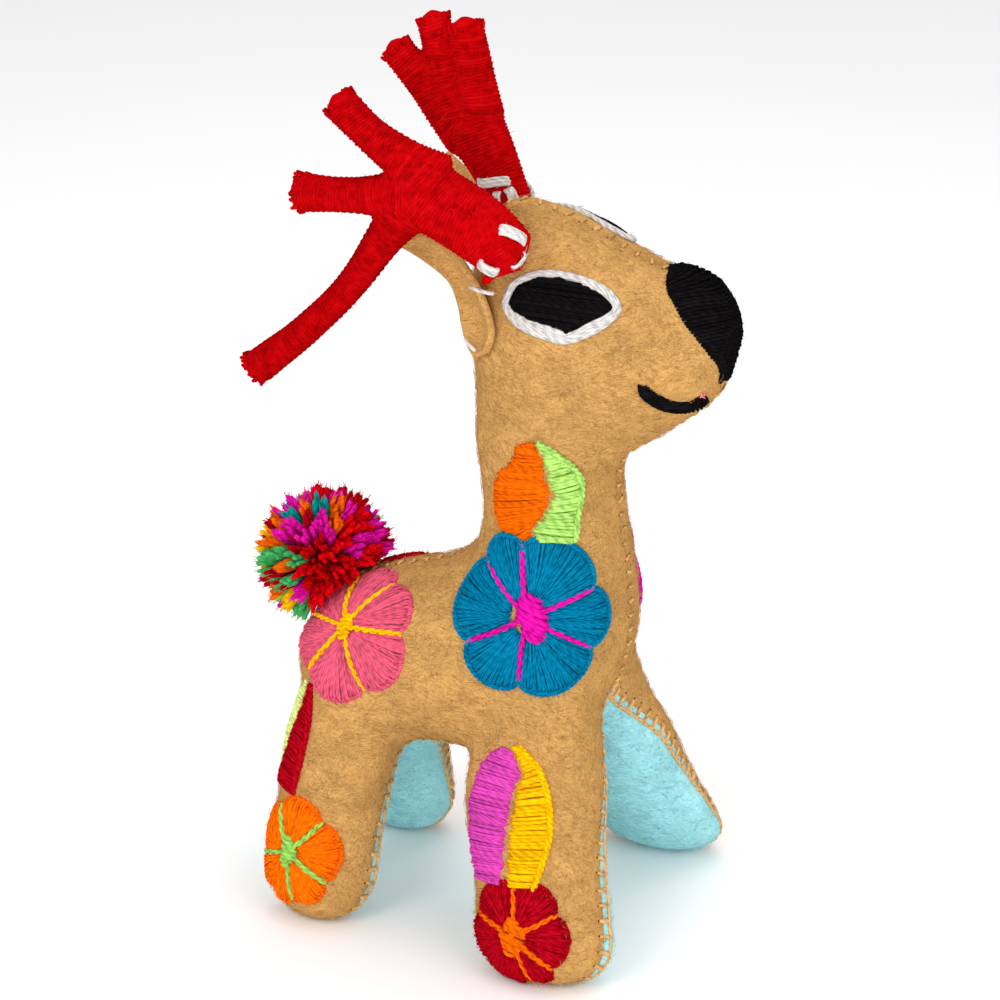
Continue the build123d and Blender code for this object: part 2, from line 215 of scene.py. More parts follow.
def yarn(name, colour, twist=2.6, contrast=0.5, fuzz=0.02, ply_share=0.3):
    """Spun wool: plies that turn round the strand, with loose fibre on them. The colour is painted darker in the
    grooves between plies and lighter on their crests and raised fibre lines: painted shade and painted highlight.
    """
    shade = Shade(name)
    dark = tuple(c * (1.0 - contrast) for c in colour)
    light = tuple(min(1.0, 1.25 * c + 0.003) for c in colour)
    uv = shade.add("ShaderNodeUVMap").outputs["UV"]
    parts = shade.add("ShaderNodeSeparateXYZ", {"Vector": uv})
    along = shade.math("DIVIDE", parts.outputs["X"], twist)
    turned = shade.math("ADD", along, shade.math("MULTIPLY", parts.outputs["Y"], 2.0))
    wave = shade.math("SINE", shade.math("MULTIPLY", turned, 2 * math.pi))
    ply = shade.math("ADD", shade.math("MULTIPLY", wave, 0.5), 0.5)
    coords = shade.add("ShaderNodeTexCoord").outputs["Object"]
    fibre = layered(shade, coords, ((0.4, 0.7, 0.3), (1.5, 0.2, 2.0)), 650.0)
    patchy = shade.noise(coords, 420.0, 3.0, 0.65)
    # The ply wave sets the relief and the tone together: painted shade in the grooves between plies, painted
    # highlight on their crests.
    twisted = shade.math("MULTIPLY", ply, ply_share)
    tone = shade.math("ADD", twisted, shade.math("MULTIPLY", patchy, 1.0 - ply_share))
    number = shade.math("FLOOR", parts.outputs["Y"])
    chance = shade.add("ShaderNodeTexWhiteNoise", {"W": number}, noise_dimensions="1D")
    own_tone = shade.math("MULTIPLY", shade.math("SUBTRACT", chance.outputs[0], 0.5), STRAND_TONE)
    tone = shade.math("ADD", tone, own_tone)
    base = shade.ramp(tone, [(0.25, dark), (0.5, colour), (0.75, light)])
    # Raised fibre lines are painted towards the light tone: paler loose fibre, partly painted highlight.
    colour_with_painted_light = shade.blend(shade.math("MULTIPLY", fibre, 0.4), base, light)
    height = shade.math("ADD", twisted, shade.math("MULTIPLY", fibre, 0.6))
    return shade.finish(colour_with_painted_light, 0.95, height, 0.15 * MM, fuzz, 0.6)


def fleece(name, colour):
    """Loose stuffing fibre, hidden inside."""
    shade = Shade(name)
    coords = shade.add("ShaderNodeTexCoord").outputs["Object"]
    cloud = shade.noise(coords, 200.0, 5.0, 0.7)
    dark = tuple(c * 0.8 for c in colour)
    shaded = shade.ramp(cloud, [(0.3, dark), (0.7, colour)])
    return shade.finish(shaded, 1.0, cloud, 0.5 * MM, 0.2)


def wire_metal(name, colour):
    """Drawn steel wire, hidden inside the antlers."""
    shade = Shade(name)
    coords = shade.add("ShaderNodeTexCoord").outputs["Object"]
    drawn = shade.noise(coords, 900.0, 2.0, 0.5)
    dark = tuple(c * 0.7 for c in colour)
    material = shade.finish(shade.ramp(drawn, [(0.3, dark), (0.7, colour)]), 0.35, None, sheen=0.0)
    shade.surface.inputs["Metallic"].default_value = 1.0
    return material


def floor_paint(name):
    """Matt near-white studio floor."""
    shade = Shade(name)
    coords = shade.add("ShaderNodeTexCoord").outputs["Object"]
    faint = shade.noise(coords, 3.0, 2.0, 0.5)
    tone = shade.ramp(faint, [(0.3, (0.93, 0.93, 0.93)), (0.7, (0.95, 0.95, 0.95))])
    return shade.finish(tone, 0.9, None, sheen=0.0)


COLOURS = {
    "black": (0.005, 0.0042, 0.0048),
    "white": (0.60, 0.58, 0.555),
    "tan": (0.66, 0.37, 0.14),
    "blue": (0.0, 0.17, 0.32),
    "magenta": (0.66, 0.006, 0.33),
    "rose": (0.68, 0.095, 0.17),
    "yellow": (0.97, 0.47, 0.001),
    "crimson": (0.38, 0.0006, 0.008),
    "orange": (1.0, 0.145, 0.0008),
    "burnt": (0.79, 0.125, 0.0008),
    "green": (0.27, 0.56, 0.10),
    "lime": (0.40, 0.68, 0.15),
    "pale_lime": (0.70, 0.86, 0.28),
    "orchid": (0.63, 0.06, 0.41),
    "violet": (0.20, 0.05, 0.38),
    "teal": (0.0, 0.28, 0.26),
    "red": (0.46, 0.0006, 0.002),
    "scarlet": (0.66, 0.001, 0.006),
    "pink": (0.80, 0.22, 0.30),
    "leaf": (0.06, 0.42, 0.12),
}
YARNS = {name: yarn("yarn_" + name, colour) for name, colour in COLOURS.items()}
WRAP_YARN = yarn("yarn_wrapped_red", COLOURS["red"], 5.0, 0.6, 0.02, 0.1)
# Dark brown for the needle holes: painted shade inside the holes.
HOLE_SHADE = yarn("needle_hole_shade", (0.10, 0.045, 0.015))
TAN_FELT = felt("felt_tan", (0.27, 0.105, 0.020), (0.51, 0.243, 0.062), (0.77, 0.45, 0.155))
BLUE_FELT = felt("felt_blue", (0.17, 0.58, 0.64), (0.32, 0.82, 0.88), (0.56, 0.95, 0.98))


# =====================================================================================
# Mesh helpers
# =====================================================================================
def make_object(name, mesh, material, smooth=True):
    """A scene object from a mesh, in the row frame."""
    thing = bpy.data.objects.new(name, mesh)
    bpy.context.scene.collection.objects.link(thing)
    mesh.materials.clear()
    mesh.materials.append(material)
    mesh.polygons.foreach_set("use_smooth", [smooth] * len(mesh.polygons))
    return thing


def evaluated_mesh(thing):
    """The mesh of an object with its modifiers applied."""
    graph = bpy.context.evaluated_depsgraph_get()
    return bpy.data.meshes.new_from_object(thing.evaluated_get(graph))


def positions(mesh):
    """Vertex positions as an array."""
    flat = np.empty(len(mesh.vertices) * 3)
    mesh.vertices.foreach_get("co", flat)
    return flat.reshape(-1, 3)


def normals_of(mesh):
    """Vertex normals as an array."""
    flat = np.empty(len(mesh.vertices) * 3)
    mesh.vertex_normals.foreach_get("vector", flat)
    return flat.reshape(-1, 3)


def set_positions(mesh, points):
    mesh.vertices.foreach_set("co", points.ravel())
    mesh.update()


def unit(rows):
    """Rows scaled to length one."""
    return rows / np.maximum(np.linalg.norm(rows, axis=-1, keepdims=True), 1e-12)


class Strands:
    """Gathers round strands into one mesh, with UVs that run along and round each."""

    def __init__(self):
        self.points, self.faces, self.uvs = [], [], []
        self.count = 0
        self.rng = random.Random(7)

    def add(self, path, radius, sides=6, hint=(0.13, 0.21, 0.97)):
        """One strand along the path. The radius is one number or one for each point."""
        path = np.asarray(path, float)
        count = len(path)
        tangent = unit(np.gradient(path, axis=0))
        hint = np.broadcast_to(np.asarray(hint, float), path.shape)
        across = unit(np.cross(tangent, hint))
        up = np.cross(across, tangent)
        radius = np.broadcast_to(np.asarray(radius, float), (count,))[:, None, None]
        turn = np.linspace(0, 2 * math.pi, sides, endpoint=False)
        ring = (
            np.cos(turn)[None, :, None] * across[:, None, :]
            + np.sin(turn)[None, :, None] * up[:, None, :]
        )
        rings = path[:, None, :] + radius * ring
        tips = path[[0, -1]] + tangent[[0, -1]] * radius[[0, -1], 0] * [[-0.6], [0.6]]
        first = self.count
        self.points.append(rings.reshape(-1, 3))
        self.points.append(tips)
        self.count += count * sides + 2
        length = np.r_[0, np.cumsum(np.linalg.norm(np.diff(path, axis=0), axis=1))] / MM
        length = length + self.rng.uniform(0, 20)
        number = self.rng.randrange(50)
        for i in range(count - 1):
            for k in range(sides):
                n = (k + 1) % sides
                a, b = first + i * sides, first + (i + 1) * sides
                self.faces.append((a + k, a + n, b + n, b + k))
                v0, v1 = number + k / sides, number + (k + 1) / sides
                u0, u1 = length[i], length[i + 1]
                self.uvs += [(u0, v0), (u0, v1), (u1, v1), (u1, v0)]
        start, end = self.count - 2, self.count - 1
        last = first + (count - 1) * sides
        for k in range(sides):
            n = (k + 1) % sides
            self.faces.append((start, first + n, first + k))
            self.faces.append((end, last + k, last + n))
            v0, v1 = number + k / sides, number + (k + 1) / sides
            self.uvs += [(length[0], v0), (length[0], v1), (length[0], v0)]
            self.uvs += [(length[-1], v0), (length[-1], v0), (length[-1], v1)]

    def fray(self, path, radius, count, spread=1.0):
        """A few fine loose fibres along a strand."""
        path = np.asarray(path, float)
        for _ in range(count):
            k = self.rng.randrange(len(path) - 1)
            start = path[k] + (path[k + 1] - path[k]) * self.rng.random()
            way = unit(np.array([self.rng.gauss(0, 1) for _ in range(3)]))
            ahead = unit(path[k + 1] - path[k]) * self.rng.choice((-1, 1))
            end = start + (ahead * 0.9 + way * 0.9) * self.rng.uniform(0.5, 1.5) * spread * MM
            middle = (start + end) / 2 + way * 0.25 * spread * MM
            self.add([start + way * radius * 0.5, middle, end], FRAY_RADIUS, 3)

    def build(self, name, material):
        mesh = bpy.data.meshes.new(name)
        points = np.concatenate(self.points)
        points[:, 2] = np.maximum(points[:, 2], 0.05 * MM)
        mesh.from_pydata(points.tolist(), [], self.faces)
        layer = mesh.uv_layers.new(name="UVMap")
        layer.data.foreach_set("uv", np.asarray(self.uvs).ravel())
        mesh.validate()
        return make_object(name, mesh, material)


def resample(path, spacing):
    """The path with points at an even spacing."""
    path = np.asarray(path, float)
    reach = np.r_[0, np.cumsum(np.linalg.norm(np.diff(path, axis=0), axis=1))]
    count = max(2, int(round(reach[-1] / spacing)) + 1)
    at = np.linspace(0, reach[-1], count)
    return np.stack([np.interp(at, reach, path[:, k]) for k in range(path.shape[1])], axis=1)


def smooth_curve(points, count):
    """A Catmull-Rom curve through a few points, as evenly indexed samples."""
    points = np.asarray(points, float)
    padded = np.vstack([2 * points[0] - points[1], points, 2 * points[-1] - points[-2]])
    result = []
    for s in np.linspace(0, len(points) - 1 - 1e-9, count):
        i = int(s)
        t = s - i
        a, b, c, d = padded[i : i + 4]
        result.append(
            0.5 * (2 * b + (c - a) * t + (2 * a - 5 * b + 4 * c - d) * t**2)
            + 0.5 * (3 * b - a - 3 * c + d) * t**3
        )
    return np.array(result)


# =====================================================================================
# Stuffed felt body
# =====================================================================================
def seam_half(x, z):
    """Sideways distance of the underbody seam at each X and Z; negative above it."""
    low = -10.0 * MM
    along = (x - WEDGE_REAR[0]) / (WEDGE_FRONT[0] - WEDGE_REAR[0])
    apex = WEDGE_REAR[1] + (WEDGE_FRONT[1] - WEDGE_REAR[1]) * along
    corners = [(a - low) * f / a for _, a, f in (WEDGE_REAR, WEDGE_FRONT)]
    corner = corners[0] + (corners[1] - corners[0]) * along
    drop = np.clip((apex - z) / apex, 0.0, 1.0)
    return (apex - z) / (apex - low) * corner + WEDGE_BULGE * 4 * drop * (1 - drop)


def seam_distance(points):
    """Distance from the nearest seam, near enough for shaping."""
    half = seam_half(points[:, 0], points[:, 2])
    side = np.abs(points[:, 1]) - half
    middle = np.where(side > 0, np.abs(points[:, 1]), 1.0)
    return np.minimum(np.abs(side) * 0.9, middle)


def joined_copy(names):
    """One mesh from several CAD nodes."""
    points, faces, count = [], [], 0
    for name in names:
        mesh = NODES[name].data
        points.append(positions(mesh))
        faces += [tuple(count + v for v in face.vertices) for face in mesh.polygons]
        count += len(mesh.vertices)
    mesh = bpy.data.meshes.new("stuffed_base")
    mesh.from_pydata(np.concatenate(points).tolist(), [], faces)
    return mesh


def stuffed_base():
    """The body's closed outer surface in even small faces, with soft creases."""
    names = ["side_felt_right", "side_felt_left", "underbody_felt", "fibre_filling"]
    thing = bpy.data.objects.new("stuffed_base", joined_copy(names))
    bpy.context.scene.collection.objects.link(thing)
    remesh = thing.modifiers.new("remesh", "REMESH")
    remesh.mode = "VOXEL"
    remesh.voxel_size = REMESH_SIZE
    soften = thing.modifiers.new("soften", "SMOOTH")
    soften.factor = 0.5
    soften.iterations = 7
    mesh = evaluated_mesh(thing)
    bpy.data.objects.remove(thing)
    return mesh


def inflate(mesh):
    """The felt pushed out by its filling, held back at the seams and under the feet."""
    rest = positions(mesh)
    held = np.exp(-((seam_distance(rest) / PIN_WIDTH) ** 2))
    held[rest[:, 2] < 2.5 * MM] = 1.0
    thing = bpy.data.objects.new("inflating", mesh)
    bpy.context.scene.collection.objects.link(thing)
    group = thing.vertex_groups.new(name="held")
    for index in np.nonzero(held > 0.05)[0]:
        group.add([int(index)], float(held[index]), "REPLACE")
    cloth = thing.modifiers.new("cloth", "CLOTH")
    settings = cloth.settings
    settings.quality = 5
    settings.mass = 0.3
    settings.tension_stiffness = 12
    settings.compression_stiffness = 12
    settings.bending_stiffness = 0.6
    settings.use_pressure = True
    settings.uniform_pressure_force = 4.0
    settings.vertex_group_mass = "held"
    settings.effector_weights.gravity = 0.0
    cloth.collision_settings.use_collision = False
    scene = bpy.context.scene
    scene.frame_start, scene.frame_end = 1, SIM_FRAMES
    for step in range(1, SIM_FRAMES + 1):
        scene.frame_set(step)
    blown = positions(evaluated_mesh(thing))
    scene.frame_set(1)
    bpy.data.objects.remove(thing)
    move = blown - rest
    length = np.linalg.norm(move, axis=1, keepdims=True)
    return rest + move * np.minimum(1.0, SWELL / np.maximum(length, 1e-9))


def subdivided(mesh, levels):
    """The mesh with Catmull-Clark subdivision applied."""
    thing = bpy.data.objects.new("subdividing", mesh)
    bpy.context.scene.collection.objects.link(thing)
    modifier = thing.modifiers.new("subdivide", "SUBSURF")
    modifier.levels = levels
    fine = evaluated_mesh(thing)
    bpy.data.objects.remove(thing)
    return fine


def posed(points):
    """The points moved by uneven filling, and the left front leg's step outward."""
    mirrored = np.stack([points[:, 0], np.abs(points[:, 1]), points[:, 2]], axis=1) / MM
    moved = points.copy()
    for centre, reach, move in FULLNESS:
        away = np.sum((mirrored - centre) ** 2, axis=1) / reach**2
        moved += np.exp(-away)[:, None] * np.array(move) * MM
    down = np.clip(1 - points[:, 2] / STEP_TOP, 0, 1) ** 0.8
    left = np.clip(points[:, 1] / (18 * MM), 0, 1)
    front = np.clip((points[:, 0] + 8 * MM) / (16 * MM), 0, 1)
    share = down * left * left * (3 - 2 * left) * front * front * (3 - 2 * front)
    return moved + share[:, None] * LEFT_STEP


def posed_polygons(polygons):
    """The corners of polygons moved like the rest of the body."""
    corners = posed(np.array([corner for polygon in polygons for corner in polygon]))
    groups, first = [], 0
    for polygon in polygons:
        groups.append([tuple(corner) for corner in corners[first : first + len(polygon)]])
        first += len(polygon)
    return groups


def stuffed_skin():
    """The whole felt surface, swollen, dipped at the seams and flat under the feet."""
    mesh = stuffed_base()
    set_positions(mesh, inflate(mesh))
    fine = subdivided(mesh, 2)
    points = positions(fine)
    near = np.exp(-((seam_distance(points) / SEAM_DIP_WIDTH) ** 2))
    points -= normals_of(fine) * (SEAM_DIP * near)[:, None]
    points[:, 2] = np.maximum(points[:, 2], 0.0)
    set_positions(fine, points)
    return fine


def cut_side(mesh, side):
    """Half of the skin cut along the underbody seam: tan faces, blue faces, seam edges."""
    shape = bmesh.new()
    shape.from_mesh(mesh)
    geometry = shape.verts[:] + shape.edges[:] + shape.faces[:]
    bmesh.ops.bisect_plane(
        shape, geom=geometry, dist=1e-7, plane_co=(0, 0, 0), plane_no=(0, -side, 0), clear_outer=True
    )
    for vertex in shape.verts:
        x, y, z = vertex.co
        vertex.co.y = side * y - seam_half(x, z)
    geometry = shape.verts[:] + shape.edges[:] + shape.faces[:]
    cut = bmesh.ops.bisect_plane(
        shape, geom=geometry, dist=1e-7, plane_co=(0, 0, 0), plane_no=(0, 1, 0)
    )
    on_seam = [e for e in cut["geom_cut"] if isinstance(e, bmesh.types.BMEdge)]
    for vertex in shape.verts:
        x, y, z = vertex.co
        vertex.co.y = side * (y + seam_half(x, z))
    seam = [tuple(tuple(v.co) for v in edge.verts) for edge in on_seam]
    panels = {True: [], False: []}
    for face in shape.faces:
        x, y, z = face.calc_center_median()
        panels[side * y > seam_half(x, z)].append([tuple(v.co) for v in face.verts])
    shape.free()
    return panels[True], panels[False], seam


def mesh_from_corners(name, polygons):
    """A mesh from lists of corner points, with equal points merged."""
    index, points, faces = {}, [], []
    for polygon in polygons:
        face = []
        for point in polygon:
            key = tuple(round(c / (0.001 * MM)) for c in point)
            if key not in index:
                index[key] = len(points)
                points.append(point)
            if index[key] not in face:
                face.append(index[key])
        if len(face) > 2:
            faces.append(face)
    mesh = bpy.data.meshes.new(name)
    mesh.from_pydata(points, [], faces)
    mesh.validate()
    return mesh


def chain(segments):
    """Segments joined end to end into paths, longest first."""
    links = {}
    for a, b in segments:
        ka, kb = (tuple(round(c / (0.01 * MM)) for c in p) for p in (a, b))
        if ka != kb:
            links.setdefault(ka, {})[kb] = b
            links.setdefault(kb, {})[ka] = a
    paths = []
    while links:
        ends = [k for k, near in links.items() if len(near) == 1]
        key = min(ends) if ends else min(links)
        path = [np.array(key) * 0.01 * MM]
        while links.get(key):
            after, point = sorted(links[key].items())[0]
            del links[key][after]
            links[after].pop(key, None)
            if not links[key]:
                links.pop(key)
            path.append(np.array(point))
            key = after
        links = {k: near for k, near in links.items() if near}
        paths.append(np.array(path))
    return sorted(paths, key=len, reverse=True)


def middle_segments(mesh):
    """Where the skin crosses the middle plane, as segments."""
    shape = bmesh.new()
    shape.from_mesh(mesh)
    geometry = shape.verts[:] + shape.edges[:] + shape.faces[:]
    cut = bmesh.ops.bisect_plane(shape, geom=geometry, dist=1e-7, plane_co=(0, 0, 0), plane_no=(0, 1, 0))
    edges = [e for e in cut["geom_cut"] if isinstance(e, bmesh.types.BMEdge)]
    segments = [tuple(tuple(v.co) for v in edge.verts) for edge in edges]
    shape.free()
    return segments


REST = stuffed_skin()
SKIN = REST.copy()
set_positions(SKIN, posed(positions(REST)))
TREE = BVHTree.FromPolygons(
    [tuple(v.co) for v in SKIN.vertices], [tuple(p.vertices) for p in SKIN.polygons]
)


def on_skin(point):
    """Nearest place on the felt and the way out of it."""
    place, normal, _, _ = TREE.find_nearest(Vector(point))
    return np.array(place), np.array(normal)


def from_side(x, z, side):
    """The place on the felt seen from one side at this X and Z in millimetres."""
    start = Vector((x * MM, side * 0.2, z * MM))
    place, normal, _, _ = TREE.ray_cast(start, Vector((0, -side, 0)))
    if place is None:
        return on_skin((x * MM, side * 0.01, z * MM))
    return np.array(place), np.array(normal)


def build_felt():
    """The three felt panels and the seam paths between them."""
    tan, blue, seams = {}, [], {}
    for name, side in SIDES.items():
        tan[name], under, segments = cut_side(REST, side)
        blue += under
        seams[name] = [path for path in chain(posed_polygons(segments)) if len(path) > 8]
    for name in SIDES:
        mesh = mesh_from_corners("side_felt_visual_" + name, posed_polygons(tan[name]))
        panel = make_object("side_felt_visual_" + name, mesh, TAN_FELT)
        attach(panel, "deer")
        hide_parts("side_felt_" + name)
    mesh = mesh_from_corners("underbody_felt_visual", posed_polygons(blue))
    panel = make_object("underbody_felt_visual", mesh, BLUE_FELT)
    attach(panel, "deer")
    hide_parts("underbody_felt")
    return seams


def build_filling():
    """The loose fibre under the felt."""
    mesh = SKIN.copy()
    set_positions(mesh, positions(SKIN) - normals_of(SKIN) * FELT_DEPTH)
    filling = make_object("fibre_filling_fleece", mesh, fleece("fleece", (0.9, 0.9, 0.87)))
    place(filling, "deer", "fibre_filling", "filling")


def place(piece, body, node=None, slot=None):
    """Rides a piece on its body and hides the CAD node it stands for. The slot is not used."""
    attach(piece, body)
    if node:
        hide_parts(node)
    return piece


SEAMS = build_felt()
build_filling()


# =====================================================================================
# Embroidery laid on the felt
# =====================================================================================
class Patch:
    """Flat drawing coordinates in millimetres wrapped over the felt round one point.
    The first runs towards the nose and the second upward."""

    def __init__(self, x, z, side, reach, step=0.75):
        self.step = step
        self.centre, normal = from_side(x, z, side)
        up = np.array([0, 0, 1.0]) - normal * normal[2]
        up = up / np.linalg.norm(up)
        ahead = np.array([1.0, 0, 0])
        ahead = ahead - normal * (ahead @ normal) - up * (ahead @ up)
        ahead = ahead / np.linalg.norm(ahead)
        self.angles = 90
        self.places, self.normals = [], []
        for turn in np.linspace(0, 2 * math.pi, self.angles, endpoint=False):
            heading = math.cos(turn) * ahead + math.sin(turn) * up
            self._walk(heading, normal, int(reach / step) + 2)
        self.places, self.normals = np.array(self.places), np.array(self.normals)

    def _walk(self, heading, normal, steps):
        """Goes straight ahead over the felt and notes each step."""
        place, places, normals = self.centre, [self.centre], [normal]
        for _ in range(steps):
            after, normal = on_skin(place + heading * self.step * MM)
            moved = after - place
            flat = moved - normal * (moved @ normal)
            heading = flat / max(np.linalg.norm(flat), 1e-9)
            place = after
            places.append(place)
            normals.append(normal)
        self.places.append(places)
        self.normals.append(normals)

    def at(self, drawing, lift=0.0):
        """Places for drawing points, lifted off the felt by one height or one each."""
        drawing = np.atleast_2d(np.asarray(drawing, float))
        turn = np.arctan2(drawing[:, 1], drawing[:, 0]) / (2 * math.pi) * self.angles
        reach = np.hypot(drawing[:, 0], drawing[:, 1]) / self.step
        reach = np.minimum(reach, self.places.shape[1] - 1.001)
        i, j = np.floor(turn).astype(int), np.floor(reach).astype(int)
        fi, fj = (turn - i)[:, None], (reach - j)[:, None]
        i0, i1 = i % self.angles, (i + 1) % self.angles

        def mixed(grid):
            low = grid[i0, j] * (1 - fj) + grid[i0, j + 1] * fj
            high = grid[i1, j] * (1 - fj) + grid[i1, j + 1] * fj
            return low * (1 - fi) + high * fi

        normal = unit(mixed(self.normals))
        lift = np.broadcast_to(np.asarray(lift, float), (len(drawing),))[:, None]
        return mixed(self.places) + normal * lift * MM, normal


def satin(strands, patch, start, end, rng, puff=0.5, radius=SATIN_RADIUS, base=0.12):
    """One satin thread from start to end, arched and sunk in at both ends."""
    start, end = np.asarray(start, float), np.asarray(end, float)
    length = np.linalg.norm(end - start)
    count = max(5, int(length / 1.4) + 2)
    t = np.linspace(0, 1, count)
    sway = np.array([start[1] - end[1], end[0] - start[0]]) / max(length, 0.1)
    drawing = start + (end - start) * t[:, None]
    drawing = drawing + sway * (np.sin(t * math.pi) * rng.uniform(-0.28, 0.28))[:, None]
    arch = np.minimum(1.0, np.minimum(t, 1 - t) * length / 1.6)
    lift = base - 0.35 + (0.35 + puff) * np.sqrt(np.clip(arch, 0, 1)) + rng.uniform(-0.13, 0.13)
    places, normals = patch.at(drawing, lift)
    strands.add(places, radius * rng.uniform(0.85, 1.15), 6, normals)
    if puff > 0:
        strands.fray(places, radius, 4)


def cord(strands, patch, drawing, rng, lift=0.45, radius=CORD_RADIUS, pitch=2.4, closed=False):
    """Two plies twisted round a drawn path."""
    drawing = resample(drawing, 0.4)
    places, normals = patch.at(drawing, lift)
    twist_plies(strands, places, normals, radius, pitch, 2)


def twist_plies(strands, places, normals, radius, pitch, plies):
    """Plies wound round a path of places."""
    tangent = unit(np.gradient(places, axis=0))
    across = unit(np.cross(tangent, normals))
    up = np.cross(across, tangent)
    reach = np.r_[0, np.cumsum(np.linalg.norm(np.diff(places, axis=0), axis=1))] / MM
    for ply in range(plies):
        turn = (reach / pitch + ply / plies) * 2 * math.pi
        offset = np.cos(turn)[:, None] * across + np.sin(turn)[:, None] * up
        strands.add(places + offset * radius * 0.75, radius, 6, normals)


def polar(radius, degrees):
    """A drawing point from distance and direction."""
    return np.array([radius * math.cos(math.radians(degrees)), radius * math.sin(math.radians(degrees))])


def petal_rim(radius, share, notch=0.77):
    """Distance of a petal's edge, with a rounded end between two notches."""
    return radius * (notch + (1 - notch) * math.sin(math.pi * share) ** 0.42)


def petal(petals, rims, patch, first, second, radius, hollow, corded, rng):
    """One petal: threads fanned from near the centre to a rounded, sewn edge."""
    span = second - first
    edge = []
    count = max(5, int(math.radians(span) * radius / 0.56))
    for k in range(count + 1):
        share = k / count
        degrees = first + span * share
        ragged = 0.0 if corded else rng.uniform(-1.2, 0.5)
        outer = polar(petal_rim(radius, share) + ragged, degrees + rng.uniform(-1.0, 1.0))
        inner_turn = first + span * (0.10 + 0.80 * share)
        depth = (0.0, 0.45, 0.2, 0.7)[k % 4] * radius * 0.4
        inner = polar(hollow + depth + rng.uniform(0, 0.7), inner_turn)
        mound = 0.42 + 0.55 * math.sin(math.pi * share) ** 0.6
        satin(petals, patch, inner, outer, rng, mound)
        satin(petals, patch, inner * 1.1, outer * 0.95, rng, -0.1, 1.6 * SATIN_RADIUS)
        edge.append(polar(petal_rim(radius, share) + 0.1, degrees))
    fine = smooth_curve(edge, len(edge) * 2)
    if corded:
        cord(rims, patch, fine, rng, 0.3, CORD_RADIUS, 2.6)
        return
    for k in range(0, len(fine) - 3, 2):
        satin(rims, patch, fine[k] - fine[k] * 0.06, fine[k + 3], rng, 0.5, SATIN_RADIUS)


def spoke(spokes, patch, degrees, reach, strands, rng):
    """A long stitch over the petals from the centre to a notch."""
    bend = rng.uniform(-4, 4)
    for number in range(strands):
        offset = (number - (strands - 1) / 2) * 0.95
        along = []
        for distance in (1.8, reach * 0.5, reach):
            turn = degrees + bend * math.sin(math.pi * distance / reach)
            side = offset * (1.0 if distance < reach else 0.6)
            along.append(polar(distance, turn) + side * polar(1.0, turn + 90))
        path = smooth_curve(along, 30)
        t = np.linspace(0, 1, 30)
        lift = 1.1 - 0.95 * t**6 - 0.3 * (1 - t) ** 6
        places, normals = patch.at(path, lift)
        twist_plies(spokes, places, normals, SPOKE_PLY * rng.uniform(0.9, 1.1), 5.0, 2)
        spokes.fray(places, SPOKE_RADIUS, 12)


def centre_block(spokes, patch, block, rng):
    """Thick parallel stitches over the middle of a flower."""
    half_width, half_height, slant, ahead = block
    for level in np.linspace(-1, 1, int(2 * half_height / 0.98) + 1):
        half = half_width * math.sqrt(max(0.25, 1 - 0.75 * level * level))
        lean = half * math.tan(math.radians(slant))
        start = np.array([-half, level * half_height - lean])
        end = np.array([half, level * half_height + lean])
        shift = np.array([ahead + rng.uniform(-0.5, 0.5), rng.uniform(-0.15, 0.15)])
        satin(spokes, patch, start + shift, end + shift, rng, 1.15, SPOKE_RADIUS, 0.55)
    low, high = (ahead, -half_height), (ahead, half_height)
    satin(spokes, patch, low, high, rng, 0.8, 2 * SPOKE_RADIUS, 0.2)


def flower(name, shape, side, colours, nodes, slots):
    """A flower of satin petals with a sewn edge, spokes and a stitched centre."""
    x, z, radius, turns, bare, block, corded, strands, hollow = shape
    rng = random.Random(name)
    patch = Patch(x, z, side, radius + 3)
    petals, rims, spokes = Strands(), Strands(), Strands()
    order = sorted(t % 360 for t in turns + bare)
    for first, second in zip(order, order[1:] + [order[0] + 360]):
        petal(petals, rims, patch, first, second, radius, hollow, corded, rng)
    for degrees in turns:
        spoke(spokes, patch, degrees, radius * 0.86, strands, rng)
    centre_block(spokes, patch, block, rng)
    colour, spoke_colour = colours
    place(petals.build(name + "_petal_threads", YARNS[colour]), "deer", nodes[0], slots[0])
    place(rims.build(name + "_rim_threads", YARNS[colour]), "deer", nodes[0], slots[0])
    place(spokes.build(name + "_spoke_yarn", YARNS[spoke_colour]), "deer", nodes[1], slots[1])


def leaf_half(name, patch, inner, outer, colour, node, slot, style):
    """Half a leaf: threads from its middle line to its edge, which may be corded."""
    slant, spacing, radius, corded = style
    rng = random.Random(name)
    strands = Strands()
    inside = resample(smooth_curve(inner, 80), 0.1)
    outside = resample(smooth_curve(outer, 80), 0.1)
    count = int(len(outside) * 0.1 / spacing)
    for k in range(count + 1):
        share = k / count
        further = min(1.0, max(0.0, share + slant / (count * spacing)))
        a = inside[int(share * (len(inside) - 1))]
        b = outside[int(further * (len(outside) - 1))]
        away = (b - a) / max(np.linalg.norm(b - a), 0.5)
        a = a + away * rng.uniform(-0.3, 0.8)
        b = b + away * (0.0 if corded else rng.uniform(-0.7, 0.35))
        b = b + [0, rng.uniform(-0.25, 0.25)]
        satin(strands, patch, a, b, rng, 0.65, radius)
        satin(strands, patch, a + away * 0.3, b - away * 0.4, rng, -0.1, 1.6 * SATIN_RADIUS)
    if corded:
        cord(strands, patch, outside, rng, 0.4, CORD_RADIUS * 1.15, 3.0)
    place(strands.build(name + "_threads", YARNS[colour]), "deer", node, slot)


